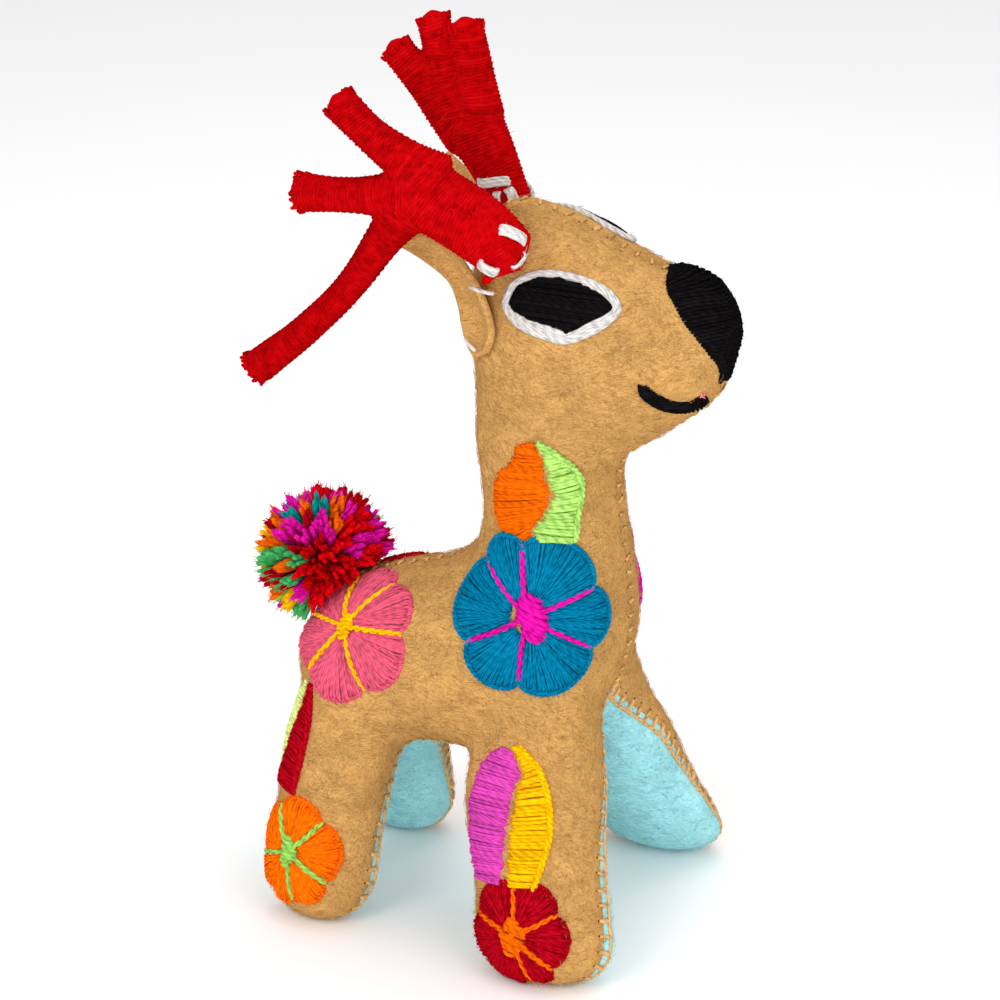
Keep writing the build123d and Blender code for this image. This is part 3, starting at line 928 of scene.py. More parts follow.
# Flowers: X and Z of the centre in mm, radius in mm, spoke directions on the right side,
# notches without a spoke, the centre's half width, half height, slant and shift, whether the
# edge is corded, the strands in each spoke and the bare felt round the centre.
FLOWERS = {
    "shoulder": (20.2, 90.0, 21.2, [97, 25, -27, -97, 208, 135], [], (3.9, 5.3, -24, 1.2), True, 1, 4.2),
    "rump": (-31.0, 77.8, 19.6, [114, 64, 11, -58, 234, 176], [], (2.1, 2.6, 20, 0.0), False, 1, 1.8),
    "front_foot": (25.2, 13.5, 14.6, [100, 37, -29, -62, 164], [226], (3.4, 4.0, -14, 0.0), False, 1, 2.5),
    "rear_foot": (-41.0, 19.6, 14.6, [116, 51, -26, -79, 194], [245], (2.0, 3.6, 0, 0.0), False, 1, 2.0),
}
FLOWER_COLOURS = {
    ("shoulder", "right"): ("blue", "magenta"),
    ("rump", "right"): ("rose", "yellow"),
    ("front_foot", "right"): ("crimson", "burnt"),
    ("rear_foot", "right"): ("orange", "green"),
    ("shoulder", "left"): ("magenta", "yellow"),
    ("rump", "left"): ("crimson", "lime"),
    ("front_foot", "left"): ("crimson", "yellow"),
    ("rear_foot", "left"): ("violet", "burnt"),
}
SATIN_SLOT = {
    "blue": "blue_satin", "magenta": "magenta_satin", "rose": "rose_satin",
    "yellow": "yellow_satin", "crimson": "crimson_satin", "burnt": "orange_satin",
    "orange": "orange_satin", "green": "green_satin", "lime": "lime_satin",
    "violet": "violet_satin", "orchid": "orchid_satin", "teal": "teal_satin",
    "pale_lime": "pale_lime_satin",
}


def build_flowers():
    """All eight flowers."""
    for (place_name, side_name), colours in FLOWER_COLOURS.items():
        nodes = [f"{place_name}_petals_{side_name}", f"{place_name}_spokes_{side_name}"]
        slots = [SATIN_SLOT[colour] for colour in colours]
        name = f"{place_name}_flower_{side_name}"
        flower(name, FLOWERS[place_name], SIDES[side_name], colours, nodes, slots)


# Leaves: X and Z of the patch centre, then inner line and outer edge from the tip down.
LEAVES = {
    "shoulder_leaf_rear": (
        (19.2, 121.3),
        [(0.9, 12.4), (2.5, 7.8), (3.6, 2.3), (4.4, -1.3), (2.5, -6.0), (0.3, -9.4), (0.5, -12.4)],
        [(-0.3, 13.0), (-4.6, 10.4), (-6.2, 6.4), (-10, 3), (-12, -1.3), (-11.6, -7.5), (-9, -10.6),
         (-4.0, -12.4), (-0.4, -12.8)],
    ),
    "shoulder_leaf_front": (
        (19.2, 121.3),
        [(1.4, 12.0), (3.1, 7.6), (4.2, 2.2), (5.1, -1.4), (3.2, -6.1), (1.0, -9.5), (1.2, -12.4)],
        [(1.5, 13.0), (6, 10.0), (11, 5.2), (12.4, 0.5), (11.6, -5.0), (11.2, -12.0)],
    ),
    "front_leg_leaf_rear": (
        (17.3, 38.8),
        [(-1.0, 17.6), (2.4, 13.0), (2.0, 8.0), (2.4, 0.0), (3.2, -8.0), (3.6, -15.0)],
        [(-3.6, 19.2), (-8.6, 14.5), (-10.8, 6.0), (-10.8, -3.0), (-9.4, -10), (-7.0, -15.4)],
    ),
    "front_leg_leaf_front": (
        (17.3, 38.8),
        [(-1.6, 18.6), (3.0, 13.2), (2.8, 8.0), (3.4, 0.0), (4.4, -8.0), (5.2, -14.8)],
        [(0.6, 19.4), (7.0, 15.0), (11.4, 8.0), (13.6, 0.0), (13.4, -7), (12.4, -14.6)],
    ),
    "rear_leg_leaf_front": (
        (-44.5, 46.0),
        [(-0.6, 16.0), (-1.6, 8), (-2.6, 0), (-3.4, -6), (-4.2, -11.8)],
        [(0.6, 16.0), (3.8, 8), (5.4, 0), (6.0, -6), (6.2, -12.2)],
    ),
    "rear_leg_leaf_rear": (
        (-44.5, 46.0),
        [(-1.2, 16.2), (-2.4, 8), (-3.4, 0), (-4.2, -6), (-5.0, -11.8)],
        [(-2.0, 16.6), (-9.0, 8), (-12.4, 0), (-13.0, -6), (-13.0, -11.8)],
    ),
}
# How each half is sewn: slant in mm, thread spacing, thread radius, corded edge.
LEAF_STYLES = {
    "shoulder_leaf_rear": (1.6, 0.62, 0.36 * MM, False),
    "shoulder_leaf_front": (1.6, 0.95, 0.5 * MM, True),
    "front_leg_leaf_rear": (1.4, 0.62, 0.36 * MM, False),
    "front_leg_leaf_front": (-1.0, 0.95, 0.5 * MM, True),
    "rear_leg_leaf_front": (1.0, 0.66, 0.38 * MM, True),
    "rear_leg_leaf_rear": (1.0, 0.66, 0.38 * MM, False),
}
LEAF_COLOURS = {
    "right": {
        "shoulder_leaf_rear": "burnt", "shoulder_leaf_front": "lime",
        "front_leg_leaf_rear": "orchid", "front_leg_leaf_front": "yellow",
        "rear_leg_leaf_front": "crimson", "rear_leg_leaf_rear": "pale_lime",
    },
    "left": {
        "shoulder_leaf_rear": "green", "shoulder_leaf_front": "yellow",
        "front_leg_leaf_rear": "teal", "front_leg_leaf_front": "burnt",
        "rear_leg_leaf_front": "rose", "rear_leg_leaf_rear": "yellow",
    },
}


def build_leaves():
    """All the leaf halves on both sides."""
    for side_name, side in SIDES.items():
        patches = {}
        for leaf_name, (centre, inner, outer) in LEAVES.items():
            if centre not in patches:
                patches[centre] = Patch(*centre, side, 22)
            colour = LEAF_COLOURS[side_name][leaf_name]
            name = f"{leaf_name}_{side_name}"
            style = LEAF_STYLES[leaf_name]
            slot = SATIN_SLOT[colour]
            leaf_half(name + "_visual", patches[centre], inner, outer, colour, name, slot, style)


# =====================================================================================
# Face
# =====================================================================================
EYES = {"right": (28.0, 169.3), "left": (24.5, 182.0)}
EYE_INNER = [
    (-14.6, 0.0), (-12.6, 4.4), (-7.8, 6.8), (-1.7, 7.0), (4.5, 5.8), (8.6, 4.2), (11.7, 1.2),
    (10.2, -1.0), (5.6, -3.4), (1.6, -5.7), (-3.1, -4.6), (-9.8, -2.9), (-13.4, -1.5),
]
EYE_OUTER = [
    (-15.7, 0.2), (-13.4, 5.3), (-8.0, 7.8), (-1.5, 8.4), (5.0, 7.5), (10.2, 5.2), (13.5, 1.2),
    (11.8, -2.2), (7.6, -5.4), (1.4, -8.4), (-4.8, -7.6), (-11.4, -5.4), (-15.0, -2.4),
]


def chords(outline, degrees, spacing):
    """Straight cuts across an outline, side by side."""
    turn = math.radians(degrees)
    along = np.array([math.cos(turn), math.sin(turn)])
    across = np.array([-along[1], along[0]])
    points = np.asarray(outline, float)
    low, high = (points @ across).min(), (points @ across).max()
    found = []
    for level in np.arange(low + spacing * 0.4, high, spacing):
        cuts = []
        for a, b in zip(points, np.roll(points, -1, axis=0)):
            da, db = a @ across - level, b @ across - level
            if (da > 0) != (db > 0):
                cuts.append(a + (b - a) * da / (da - db))
        cuts.sort(key=lambda p: p @ along)
        for a, b in zip(cuts[::2], cuts[1::2]):
            if np.linalg.norm(b - a) > 1.0:
                found.append((a, b))
    return found


def build_eye(side_name):
    """Black satin almond in a band of white yarn."""
    rng = random.Random("eye" + side_name)
    patch = Patch(*EYES[side_name], SIDES[side_name], 18)
    black, white = Strands(), Strands()
    for a, b in chords(EYE_INNER, -4, 0.6):
        satin(black, patch, a, b, rng, 0.75, 0.4 * MM)
        satin(black, patch, a * 0.96, b * 0.96, rng, -0.1, 0.6 * MM)
    outline_inner, outline_outer = np.array(EYE_INNER), np.array(EYE_OUTER)
    for number, share in enumerate((0.08, 0.35, 0.62, 0.9, 0.22, 0.5, 0.78)):
        loop = outline_inner + (outline_outer - outline_inner) * share
        path = smooth_curve(np.vstack([loop, loop[:1]]), 110)
        t = np.linspace(0, 1, len(path))
        wave = 0.16 * np.sin(t * 31 + share * 9)[:, None]
        path = path + path / np.linalg.norm(path, axis=1, keepdims=True) * wave
        lift = 0.35 + 0.35 * math.sin(math.pi * share) + 0.1 * np.sin(t * 43 + share * 9)
        places, normals = patch.at(path, lift if number < 4 else lift - 0.2)
        white.add(places, 0.46 * MM, 7, normals)
        white.fray(places, 0.46 * MM, 40)
    place(black.build("eye_satin_" + side_name, YARNS["black"]), "deer", "eye_" + side_name, "black_thread")
    piece = white.build("eye_outline_yarn_" + side_name, YARNS["white"])
    place(piece, "deer", "eye_outline_" + side_name, "white_yarn")


NOSE_EDGE = [(47.6, -1.0, 173.6), (48.6, -6.0, 171.6), (51.6, -9.0, 169.4), (55.2, -10.6, 165.6),
             (58.8, -10.2, 161.4), (61.4, -8.0, 157.0), (63.4, -4.5, 152.8), (63.6, -1.5, 150.6)]
NOSE_FRONT = [(47.6, 0, 174.2), (54.0, 0, 172.6), (60.5, 0, 170.2), (65.0, 0, 167.0),
              (66.8, 0, 162.4), (66.4, 0, 157.6), (65.0, 0, 153.4), (63.8, 0, 150.4)]


def build_nose():
    """Black satin wrapped from one side of the snout to the other."""
    rng = random.Random("nose")
    strands = Strands()
    count = 44
    edge, front = smooth_curve(NOSE_EDGE, count) * MM, smooth_curve(NOSE_FRONT, count) * MM
    for k, layer in [(k, layer) for layer in (0, 1) for k in range(count)]:
        path = []
        raised = rng.uniform(-0.12, 0.12) - 0.75 * layer
        along = unit(front[min(k + 1, count - 1)] - front[max(k - 1, 0)])
        for s in np.linspace(-1, 1, 17):
            guess = front[k] + (edge[k] - front[k]) * abs(s) ** 1.7
            guess[1] = edge[k][1] * -s
            spot, normal = on_skin(guess)
            lift = 1.25 * math.sqrt(max(0.0, 1 - s**8)) - 0.1 + raised
            wander = along * rng.uniform(-0.16, 0.16)
            path.append(spot + normal * lift * MM + wander * MM)
        thick = 0.46 if layer == 0 else 0.7
        strands.add(path, thick * MM * rng.uniform(0.9, 1.15), 6)
        strands.fray(path, thick * MM, 8)
    for side in (-1, 1):
        tail = [on_skin((x * MM, side * y * MM, z * MM)) for x, y, z in ((63.0, 4.6, 153), (63.0, 4.4, 151.4), (62.6, 4.2, 150.2))]
        strands.add([p + n * 0.3 * MM for p, n in tail], 0.5 * MM, 6)
    place(strands.build("nose_satin", YARNS["black"]), "deer", "nose", "black_thread")


MOUTH = [(47.0, 151.4), (48.8, 148.4), (51.6, 146.0), (54.6, 144.9), (57.2, 145.1), (59.5, 146.6)]


def build_mouth(side_name):
    """Black mouth line of short slanted stitches."""
    rng = random.Random("mouth" + side_name)
    side = SIDES[side_name]
    strands = Strands()
    line = smooth_curve(MOUTH, 200)
    line = resample(line, 0.62)
    heading = unit(np.gradient(line, axis=0))
    for k, (point, along) in enumerate(zip(line, heading)):
        share = k / (len(line) - 1)
        half = 2.1 * min(1.0, 0.4 + 3.5 * share, 0.5 + 4.0 * (1 - share))
        across = np.array([-along[1], along[0]]) * 0.8 + along * 0.6
        path = []
        for s in np.linspace(-1, 1, 7):
            spot, normal = from_side(*(point + across * half * s), side)
            path.append(spot + normal * (0.75 * math.sqrt(1 - s**4) - 0.12) * MM)
        strands.add(path, 0.42 * MM * rng.uniform(0.92, 1.1), 6)
    piece = strands.build("mouth_satin_" + side_name, YARNS["black"])
    place(piece, "deer", "mouth_" + side_name, "black_thread")


def build_lip_stitch():
    """A few pink thread ends by the lip on the right side."""
    rng = random.Random("lip")
    strands = Strands()
    for _ in range(5):
        x, z = 59.3 + rng.uniform(-0.6, 0.6), 148.0 + rng.uniform(-0.8, 0.8)
        spot, normal = from_side(x, z, -1)
        turn = rng.uniform(0, math.pi)
        path = []
        for s in np.linspace(-0.8, 0.8, 5):
            lift = 0.35 * (1 - s * s)
            path.append(spot + np.array([s * math.cos(turn), 0, s * math.sin(turn)]) * MM + normal * lift * MM)
        strands.add(path, 0.16 * MM, 5)
    place(strands.build("lip_thread", YARNS["pink"]), "deer", "lip_stitch", "pink_thread")


# =====================================================================================
# Seams
# =====================================================================================
def seam_frames(path, spacing):
    """Even places along a seam, with direction and way out."""
    path = resample(path, spacing)
    return path, unit(np.gradient(path, axis=0)), np.array([on_skin(p)[1] for p in path])


def bar(strands, spot, normal, across, half, rng, radius=SEAM_THREAD, lift=0.5):
    """One short stitch lying across a seam with its ends sunk in."""
    path = []
    for s in np.linspace(-1, 1, 7):
        guess, way = on_skin(spot + across * half * s * MM)
        path.append(guess + way * (lift * math.sqrt(max(0.0, 1 - s**4)) - 0.15) * MM)
    strands.add(path, radius * rng.uniform(0.9, 1.12), 6)


def needle_hole_shade(hole_shades, near):
    """A small dark disc at the end of a stitch, sunk into the felt: painted shade of the needle hole."""
    spot, normal = on_skin(near)
    hole_shades.add([spot - normal * 0.3 * MM, spot + normal * 0.03 * MM], 0.32 * MM, 8)


def build_middle_seam():
    """Short stitches over the seam along head, back, throat and chest."""
    rng = random.Random("middle seam")
    strands, hole_shades = Strands(), Strands()
    for path in chain(middle_segments(SKIN)):
        half = seam_half(path[:, 0], path[:, 2])
        keep = path[(half < 0) & ~in_nose(path)]
        if len(keep) < 10:
            continue
        for run in split_runs(keep):
            places, along, normals = seam_frames(run, STITCH_PITCH)
            for spot, heading, normal in zip(places, along, normals):
                across = np.cross(heading, normal) + heading * rng.uniform(-0.35, 0.35)
                bar(strands, spot, normal, across, 1.15 + rng.uniform(-0.2, 0.2), rng)
                needle_hole_shade(hole_shades, spot + across * 1.75 * MM)
                needle_hole_shade(hole_shades, spot - across * 1.75 * MM)
    piece = strands.build("middle_seam_stitches", YARNS["tan"])
    place(piece, "deer", "middle_seam_thread", "seam_thread")
    # Dark discs at the stitch ends: painted shade of the needle holes.
    place(hole_shades.build("middle_seam_hole_shades", HOLE_SHADE), "deer", None, "seam_thread")


def in_nose(points):
    """Which points of the middle line the nose embroidery covers."""
    x, z = points[:, 0] / MM, points[:, 2] / MM
    return (x > 47.0) & (z > 150.0)


def split_runs(points):
    """A line of points cut wherever there is a gap."""
    gaps = np.nonzero(np.linalg.norm(np.diff(points, axis=0), axis=1) > 4 * MM)[0]
    return [run for run in np.split(points, gaps + 1) if len(run) > 5]


def build_leg_seam(side_name):
    """Bars over a strip of blue edge and a thread along it, down the legs."""
    rng = random.Random("leg seam" + side_name)
    side = SIDES[side_name]
    strands, hole_shades = Strands(), Strands()
    for path in SEAMS[side_name]:
        places, along, normals = seam_frames(path, STITCH_PITCH)
        for spot, heading, normal in zip(places, along, normals):
            outward = np.cross(heading, normal)
            if outward[1] * side < 0:
                outward = -outward
            slant = heading * rng.uniform(-0.2, 0.2)
            bar(strands, spot - outward * 0.3 * MM, normal, outward + slant, 1.7, rng, 0.5 * MM)
            needle_hole_shade(hole_shades, spot + (outward + slant) * 1.9 * MM)
        fine, heading, normals = seam_frames(path, 1.0 * MM)
        outward = np.cross(heading, normals)
        outward *= np.sign(outward[:, 1] * side)[:, None]
        line = np.array([on_skin(p)[0] for p in fine - outward * 2.0 * MM])
        twist_plies(strands, line + normals * 0.15 * MM, normals, 0.36 * MM, 2.6, 2)
    piece = strands.build("leg_seam_stitches_" + side_name, YARNS["tan"])
    place(piece, "deer", "leg_seam_thread_" + side_name, "seam_thread")
    # Dark discs at the stitch ends: painted shade of the needle holes.
    place(hole_shades.build("leg_seam_hole_shades_" + side_name, HOLE_SHADE), "deer", None, "seam_thread")


# =====================================================================================
# Ears
# =====================================================================================
# Ears: rows of rear edge point, front edge point and how far the felt is cupped, from
# the tip down to where it is sewn on. Millimetres.
EARS = {
    "right": [
        ((-17.5, -15.5, 179.5), (-16.5, -16.5, 180.5), 0.2),
        ((-10.0, -15.5, 175.8), (-7.5, -17.5, 184.0), 1.4),
        ((-3.8, -15.0, 171.2), (-0.5, -19.0, 180.5), 2.6),
        ((-1.4, -15.0, 165.5), (4.5, -20.3, 175.5), 3.0),
        ((-0.6, -15.0, 160.5), (8.2, -20.8, 169.5), 2.6),
        ((1.0, -15.5, 156.0), (10.0, -20.4, 162.0), 1.6),
        ((4.0, -17.5, 153.5), (8.0, -19.6, 156.0), 0.4),
    ],
    "left": [
        ((-16.2, 12.0, 196.0), (-15.8, 12.5, 196.4), 0.2),
        ((-14.6, 12.0, 190.5), (-11.6, 13.2, 192.8), 0.8),
        ((-11.6, 12.0, 185.0), (-8.2, 13.8, 187.4), 1.2),
        ((-8.0, 12.0, 179.5), (-4.4, 14.6, 181.8), 1.4),
        ((-4.0, 12.0, 174.0), (0.0, 15.6, 176.4), 1.0),
        ((0.0, 12.5, 170.5), (3.5, 16.0, 171.5), 0.4),
    ],
}


def build_ear(side_name):
    """A cupped felt leaf, folded where it is sewn to the head."""
    side = SIDES[side_name]
    knots = [np.r_[rear, front, cup] for rear, front, cup in EARS[side_name]]
    rows, columns = 32, 17
    grid = smooth_curve(knots, rows)
    points, faces = [], []
    for row in grid:
        rear, front, cup = row[:3], row[3:6], row[6]
        for s in np.linspace(0, 1, columns):
            depth = cup * math.sin(math.pi * s) ** 0.8
            edge_curl = 0.9 * cup * max(0.0, s - 0.75) * 2.0
            point = rear + (front - rear) * s
            points.append((point + np.array([0.15, -side * (depth - edge_curl), -0.2 * depth])) * MM)
    for i in range(rows - 1):
        for k in range(columns - 1):
            a = i * columns + k
            faces.append((a, a + 1, a + columns + 1, a + columns))
    mesh = bpy.data.meshes.new("ear_felt_" + side_name)
    mesh.from_pydata([tuple(p) for p in points], [], faces)
    ear = make_object("ear_felt_" + side_name, mesh, TAN_FELT)
    thick = ear.modifiers.new("thickness", "SOLIDIFY")
    thick.thickness = 1.9 * MM
    thick.offset = 0.0
    soft = ear.modifiers.new("soften", "SUBSURF")
    soft.levels = soft.render_levels = 2
    place(ear, "ear_" + side_name, "ear_" + side_name, "tan_felt")


# White stitches on the ears: from and to points in millimetres.
EAR_STITCHES = {
    "right": [((4.8, -22.0, 172.6), (10.8, -22.2, 171.6)), ((2.4, -19.6, 158.6), (5.2, -20.2, 156.4))],
    "left": [((-2.0, 17.6, 180.6), (2.6, 18.2, 177.4))],
}


def build_ear_stitches(side_name):
    """White yarn that holds the ear's fold to the head."""
    strands = Strands()
    for start, end in EAR_STITCHES[side_name]:
        start, end = np.array(start), np.array(end)
        t = np.linspace(0, 1, 9)[:, None]
        path = start + (end - start) * t
        path[:, 1] += SIDES[side_name] * (0.7 * np.sin(math.pi * t[:, 0]) - 0.4)
        strands.add(path * MM, 0.5 * MM, 8)
    piece = strands.build("ear_stitches_" + side_name, YARNS["white"])
    place(piece, "ear_" + side_name, "ear_" + side_name, "white_yarn")


# =====================================================================================
# Antlers
# =====================================================================================
ANTLERS = {
    "right": [
        [(16.0, -23.5, 181.4, 7.2), (9, -25.5, 188.2, 8.2), (-5, -27.0, 196, 8.6)],
        [(-2, -27.0, 199, 7.6), (-9, -28, 203.5, 5.4), (-18, -27.6, 209, 4.3), (-26.5, -27, 216, 4.5)],
        [(-7, -27.5, 195.5, 7.0), (-17, -28, 194.5, 4.8), (-27, -27, 193.5, 4.2),
         (-37.5, -26, 193, 4.8)],
        [(-8, -27.5, 193, 6.5), (-15, -27.5, 184, 4.6), (-24.5, -27, 171, 3.7),
         (-37, -26.5, 158.5, 3.8), (-51, -26, 147, 4.4)],
    ],
    "left": [
        [(-0.7, 22.5, 177, 5.6), (-7, 25, 189, 6.4), (-14, 26, 201, 8.0)],
        [(-12.4, 26, 203, 6.6), (-13.6, 25.5, 214, 5.1), (-15.6, 24.5, 226, 4.7)],
        [(-17, 26, 203, 6.6), (-21, 25.5, 214, 4.8), (-25, 26, 227, 4.2)],
        [(-14.5, 25.5, 197, 6.6), (-21, 25, 204, 5.6), (-27, 24, 211, 4.4), (-34, 23, 219.5, 4.3)],
    ],
}
# Knot of red yarn at the sewn end of the right antler, from and to in mm.
KNOT = ((15.0, -28.0, 180.0), (10.6, -27.6, 175.8))


def smooth_run(run, count):
    """Places and radii along one run of an antler."""
    rows = smooth_curve(run, count)
    return rows[:, :3] * MM, rows[:, 3] * MM


def antler_core(side_name):
    """The wound body of an antler under its outer turns of yarn, as one closed mesh."""
    strands = Strands()
    for run in ANTLERS[side_name]:
        places, radii = smooth_run(run, 22)
        strands.add(places, radii * 0.97, 20, (0.02, 1.0, 0.03))
    thing = strands.build("antler_core_build", YARNS["red"])
    remesh = thing.modifiers.new("remesh", "REMESH")
    remesh.mode = "VOXEL"
    remesh.voxel_size = 0.8 * MM
    soften = thing.modifiers.new("soften", "SMOOTH")
    soften.factor = 0.5
    soften.iterations = 8
    mesh = evaluated_mesh(thing)
    bpy.data.objects.remove(thing)
    return mesh


def build_antler(side_name):
    """Yarn wound turn by turn round each arm of the antler."""
    rng = random.Random("antler" + side_name)
    body = "antler_" + side_name
    core = antler_core(side_name)
    tree = BVHTree.FromPolygons(
        [tuple(v.co) for v in core.vertices], [tuple(p.vertices) for p in core.polygons]
    )
    wraps = Strands()
    for number, run in enumerate(ANTLERS[side_name]):
        wind(wraps, tree, run, number, rng)
        places, radii = smooth_run(run, 60)
        if number:
            end_tufts(wraps, places[-1], unit(places[-1] - places[-3]), radii[-1], rng)
    if side_name == "right":
        start, end = np.array(KNOT) * MM
        swell = np.array([0.6, 1.0, 1.25, 1.0, 1.2, 0.6]) * MM
        wraps.add(np.linspace(start, end, len(swell)), swell, 8)
        wraps.fray(np.linspace(start, end, len(swell)), 1.2 * MM, 40)
    wrap_piece = wraps.build("antler_wraps_" + side_name, WRAP_YARN)
    place(wrap_piece, body, "antler_yarn_" + side_name, "antler_yarn")
    build_tacks(side_name, tree)
    core_piece = make_object("antler_body_" + side_name, core, WRAP_YARN)
    place(core_piece, body, "antler_yarn_" + side_name, "antler_yarn")


def wind(wraps, tree, run, number, rng):
    """Turns of yarn that follow the antler's surface along one run."""
    places, radii = smooth_run(run, 60)
    reach = np.r_[0, np.cumsum(np.linalg.norm(np.diff(places, axis=0), axis=1))]
    turns = int(reach[-1] / (WRAP_RADIUS * 1.9))
    sides = 26
    count = turns * sides
    at = np.linspace(0, reach[-1], count)
    centre = np.stack([np.interp(at, reach, places[:, k]) for k in range(3)], axis=1)
    heading = unit(np.gradient(centre, axis=0))
    limit = np.interp(at, reach, radii) * 1.3
    side_way = unit(np.cross(heading, np.array([0.02, 1.0, 0.03])))
    up = np.cross(side_way, heading)
    lean = 0.14 * np.sin(at / reach[-1] * 9 + number)
    path, pieces = [], []
    for k in range(count):
        turn = 2 * math.pi * k / sides
        way = math.cos(turn) * (side_way[k] + heading[k] * lean[k]) + math.sin(turn) * up[k]
        way = way / np.linalg.norm(way)
        hit, _, _, distance = tree.ray_cast(Vector(centre[k]), Vector(way))
        if hit is None or distance > limit[k]:
            if len(path) > 5:
                pieces.append(path)
            path = []
            continue
        wobble = 0.10 * MM * math.sin(k * 0.37 + number) + rng.uniform(-0.02, 0.02) * MM
        path.append(centre[k] + way * (distance - WRAP_RADIUS * 0.3 + wobble))
    if len(path) > 5:
        pieces.append(path)
    for piece in pieces:
        swell = np.full(len(piece), WRAP_RADIUS)
        swell[:2] *= 0.5
        swell[-2:] *= 0.5
        wraps.add(piece, swell, 6, (0.31, 0.52, 0.79))
        wraps.fray(piece, WRAP_RADIUS, len(piece) // 9)


def end_tufts(strands, centre, heading, radius, rng):
    """Cut yarn ends standing out of the end of an arm."""
    side_way = unit(np.cross(heading, np.array([0.1, 0.9, 0.2])))
    up = np.cross(side_way, heading)
    for _ in range(70):
        turn, reach = rng.uniform(0, 2 * math.pi), radius * math.sqrt(rng.uniform(0, 1)) * 1.02
        offset = side_way * math.cos(turn) * reach + up * math.sin(turn) * reach
        start = centre + offset - heading * 1.2 * MM
        end = centre + offset * 1.08 + heading * rng.uniform(0.1, 0.7) * MM
        strands.add([start, (start + end) / 2, end], 0.45 * MM, 5, side_way)


# White yarn tacks: from and to points in mm, near the wound surface, and half the width.
TACKS = {
    "right": [
        ((15.4, -29.5, 189.6), (20.6, -26.0, 186.4), 1.25),
        ((11.2, -31.0, 182.0), (15.2, -30.0, 179.6), 1.25),
        ((18.2, -28.5, 180.4), (20.8, -26.0, 183.8), 0.6),
        ((6.0, -18.0, 184.0), (10.0, -17.0, 187.0), 1.0),
    ],
    "left": [
        ((-11.5, 17.5, 187.0), (0.0, 18.0, 189.6), 1.1),
        ((-4.6, 17.5, 186.0), (-3.9, 18.0, 180.5), 1.0),
        ((-1.0, 18.0, 187.4), (1.6, 18.0, 182.0), 1.2),
        ((-4.0, 30.0, 186.0), (3.0, 28.0, 183.0), 1.2),
        ((-8.0, 31.0, 182.0), (-2.0, 29.5, 178.0), 1.2),
    ],
}


# Where the stitches that carry an antler come out of the head, in mm.
ANCHORS = {
    "right": [(14.0, -15.0, 180.0), (9.0, -15.0, 184.0), (11.0, -16.0, 177.0)],
    "left": [(0.0, 14.0, 178.0), (-2.0, 14.0, 182.0), (2.0, 14.0, 174.0)],
}


def build_tacks(side_name, tree):
    """White yarn stitches that hold an antler to the head."""
    strands = Strands()
    for start, end, half in TACKS[side_name]:
        start, end = np.array(start) * MM, np.array(end) * MM
        for shift in (-0.55, 0.0, 0.55):
            path = []
            for share in np.linspace(0, 1, 9):
                guess = start + (end - start) * share
                spot, normal, _, _ = tree.find_nearest(Vector(guess))
                spot, normal = np.array(spot), np.array(normal)
                across = unit(np.cross(end - start, normal))
                lift = 0.75 - 1.3 * (2 * share - 1) ** 6
                plump = 0.25 * half * (1 - abs(shift))
                path.append(spot + normal * (lift + plump) * MM + across * shift * 1.15 * half * MM)
            strands.add(path, 0.5 * half * MM, 8)
            strands.fray(path, 0.6 * half * MM, 10)
    for start in ANCHORS[side_name]:
        near = on_skin(np.array(start) * MM)[0]
        away, _, _, _ = tree.find_nearest(Vector(near))
        path = np.linspace(near, np.array(away), 5)
        strands.add(path, 0.6 * MM, 8)
    piece = strands.build("antler_tack_yarn_" + side_name, YARNS["white"])
    place(piece, "antler_" + side_name, "antler_tacks_" + side_name, "white_yarn")


# =====================================================================================
# Pompom
# =====================================================================================
POMPOM_CENTRE = np.array([-45.6, 0.0, 88.9]) * MM
POMPOM_REACH = 17.2 * MM
POMPOM_BUNDLES = 190
POMPOM_GAP = 2.6 * MM  # room between the rump and the yarn ends
POMPOM_COLOURS = ["crimson", "scarlet", "red", "magenta", "burnt", "yellow", "leaf", "teal", "green", "violet"]
# Regions of the ball as seen from behind and above: a direction and its usual colours.
POMPOM_REGIONS = [
    ((0.8, 0.1, 0.5), ["red", "scarlet", "scarlet", "magenta"]),
    ((0.5, -0.7, -0.1), ["scarlet", "red", "scarlet", "scarlet"]),
    ((-0.1, -0.3, 0.95), ["magenta", "crimson", "teal", "scarlet", "magenta", "burnt"]),
    ((-0.7, -0.5, 0.5), ["yellow", "magenta", "crimson", "burnt", "magenta", "yellow"]),
    ((-0.6, -0.8, -0.1), ["leaf", "crimson", "yellow", "magenta", "leaf", "burnt"]),
    ((-0.6, -0.5, -0.7), ["leaf", "burnt", "magenta", "yellow", "green", "leaf"]),
    ((-0.9, 0.3, 0.0), ["yellow", "teal", "red", "violet", "burnt"]),
    ((0.0, 0.9, 0.2), ["magenta", "leaf", "crimson", "teal", "yellow"]),
    ((0.0, 0.5, -0.9), ["red", "violet", "green", "burnt"]),
]


def even_way(k, count):
    """The k-th of some evenly spread directions."""
    z = 1 - 2 * (k + 0.5) / count
    turn = k * math.pi * (3 - math.sqrt(5))
    flat = math.sqrt(1 - z * z)
    return np.array([flat * math.cos(turn), flat * math.sin(turn), z])


def pompom_bundles(rng):
    """Directions of the yarn bundles and the colour of each."""
    bundles = []
    for k in range(POMPOM_BUNDLES):
        way = even_way(k, POMPOM_BUNDLES)
        usual = max(POMPOM_REGIONS, key=lambda region: way @ unit(np.array(region[0])))
        bundles.append((way, rng.choice(usual[1])))
    return bundles


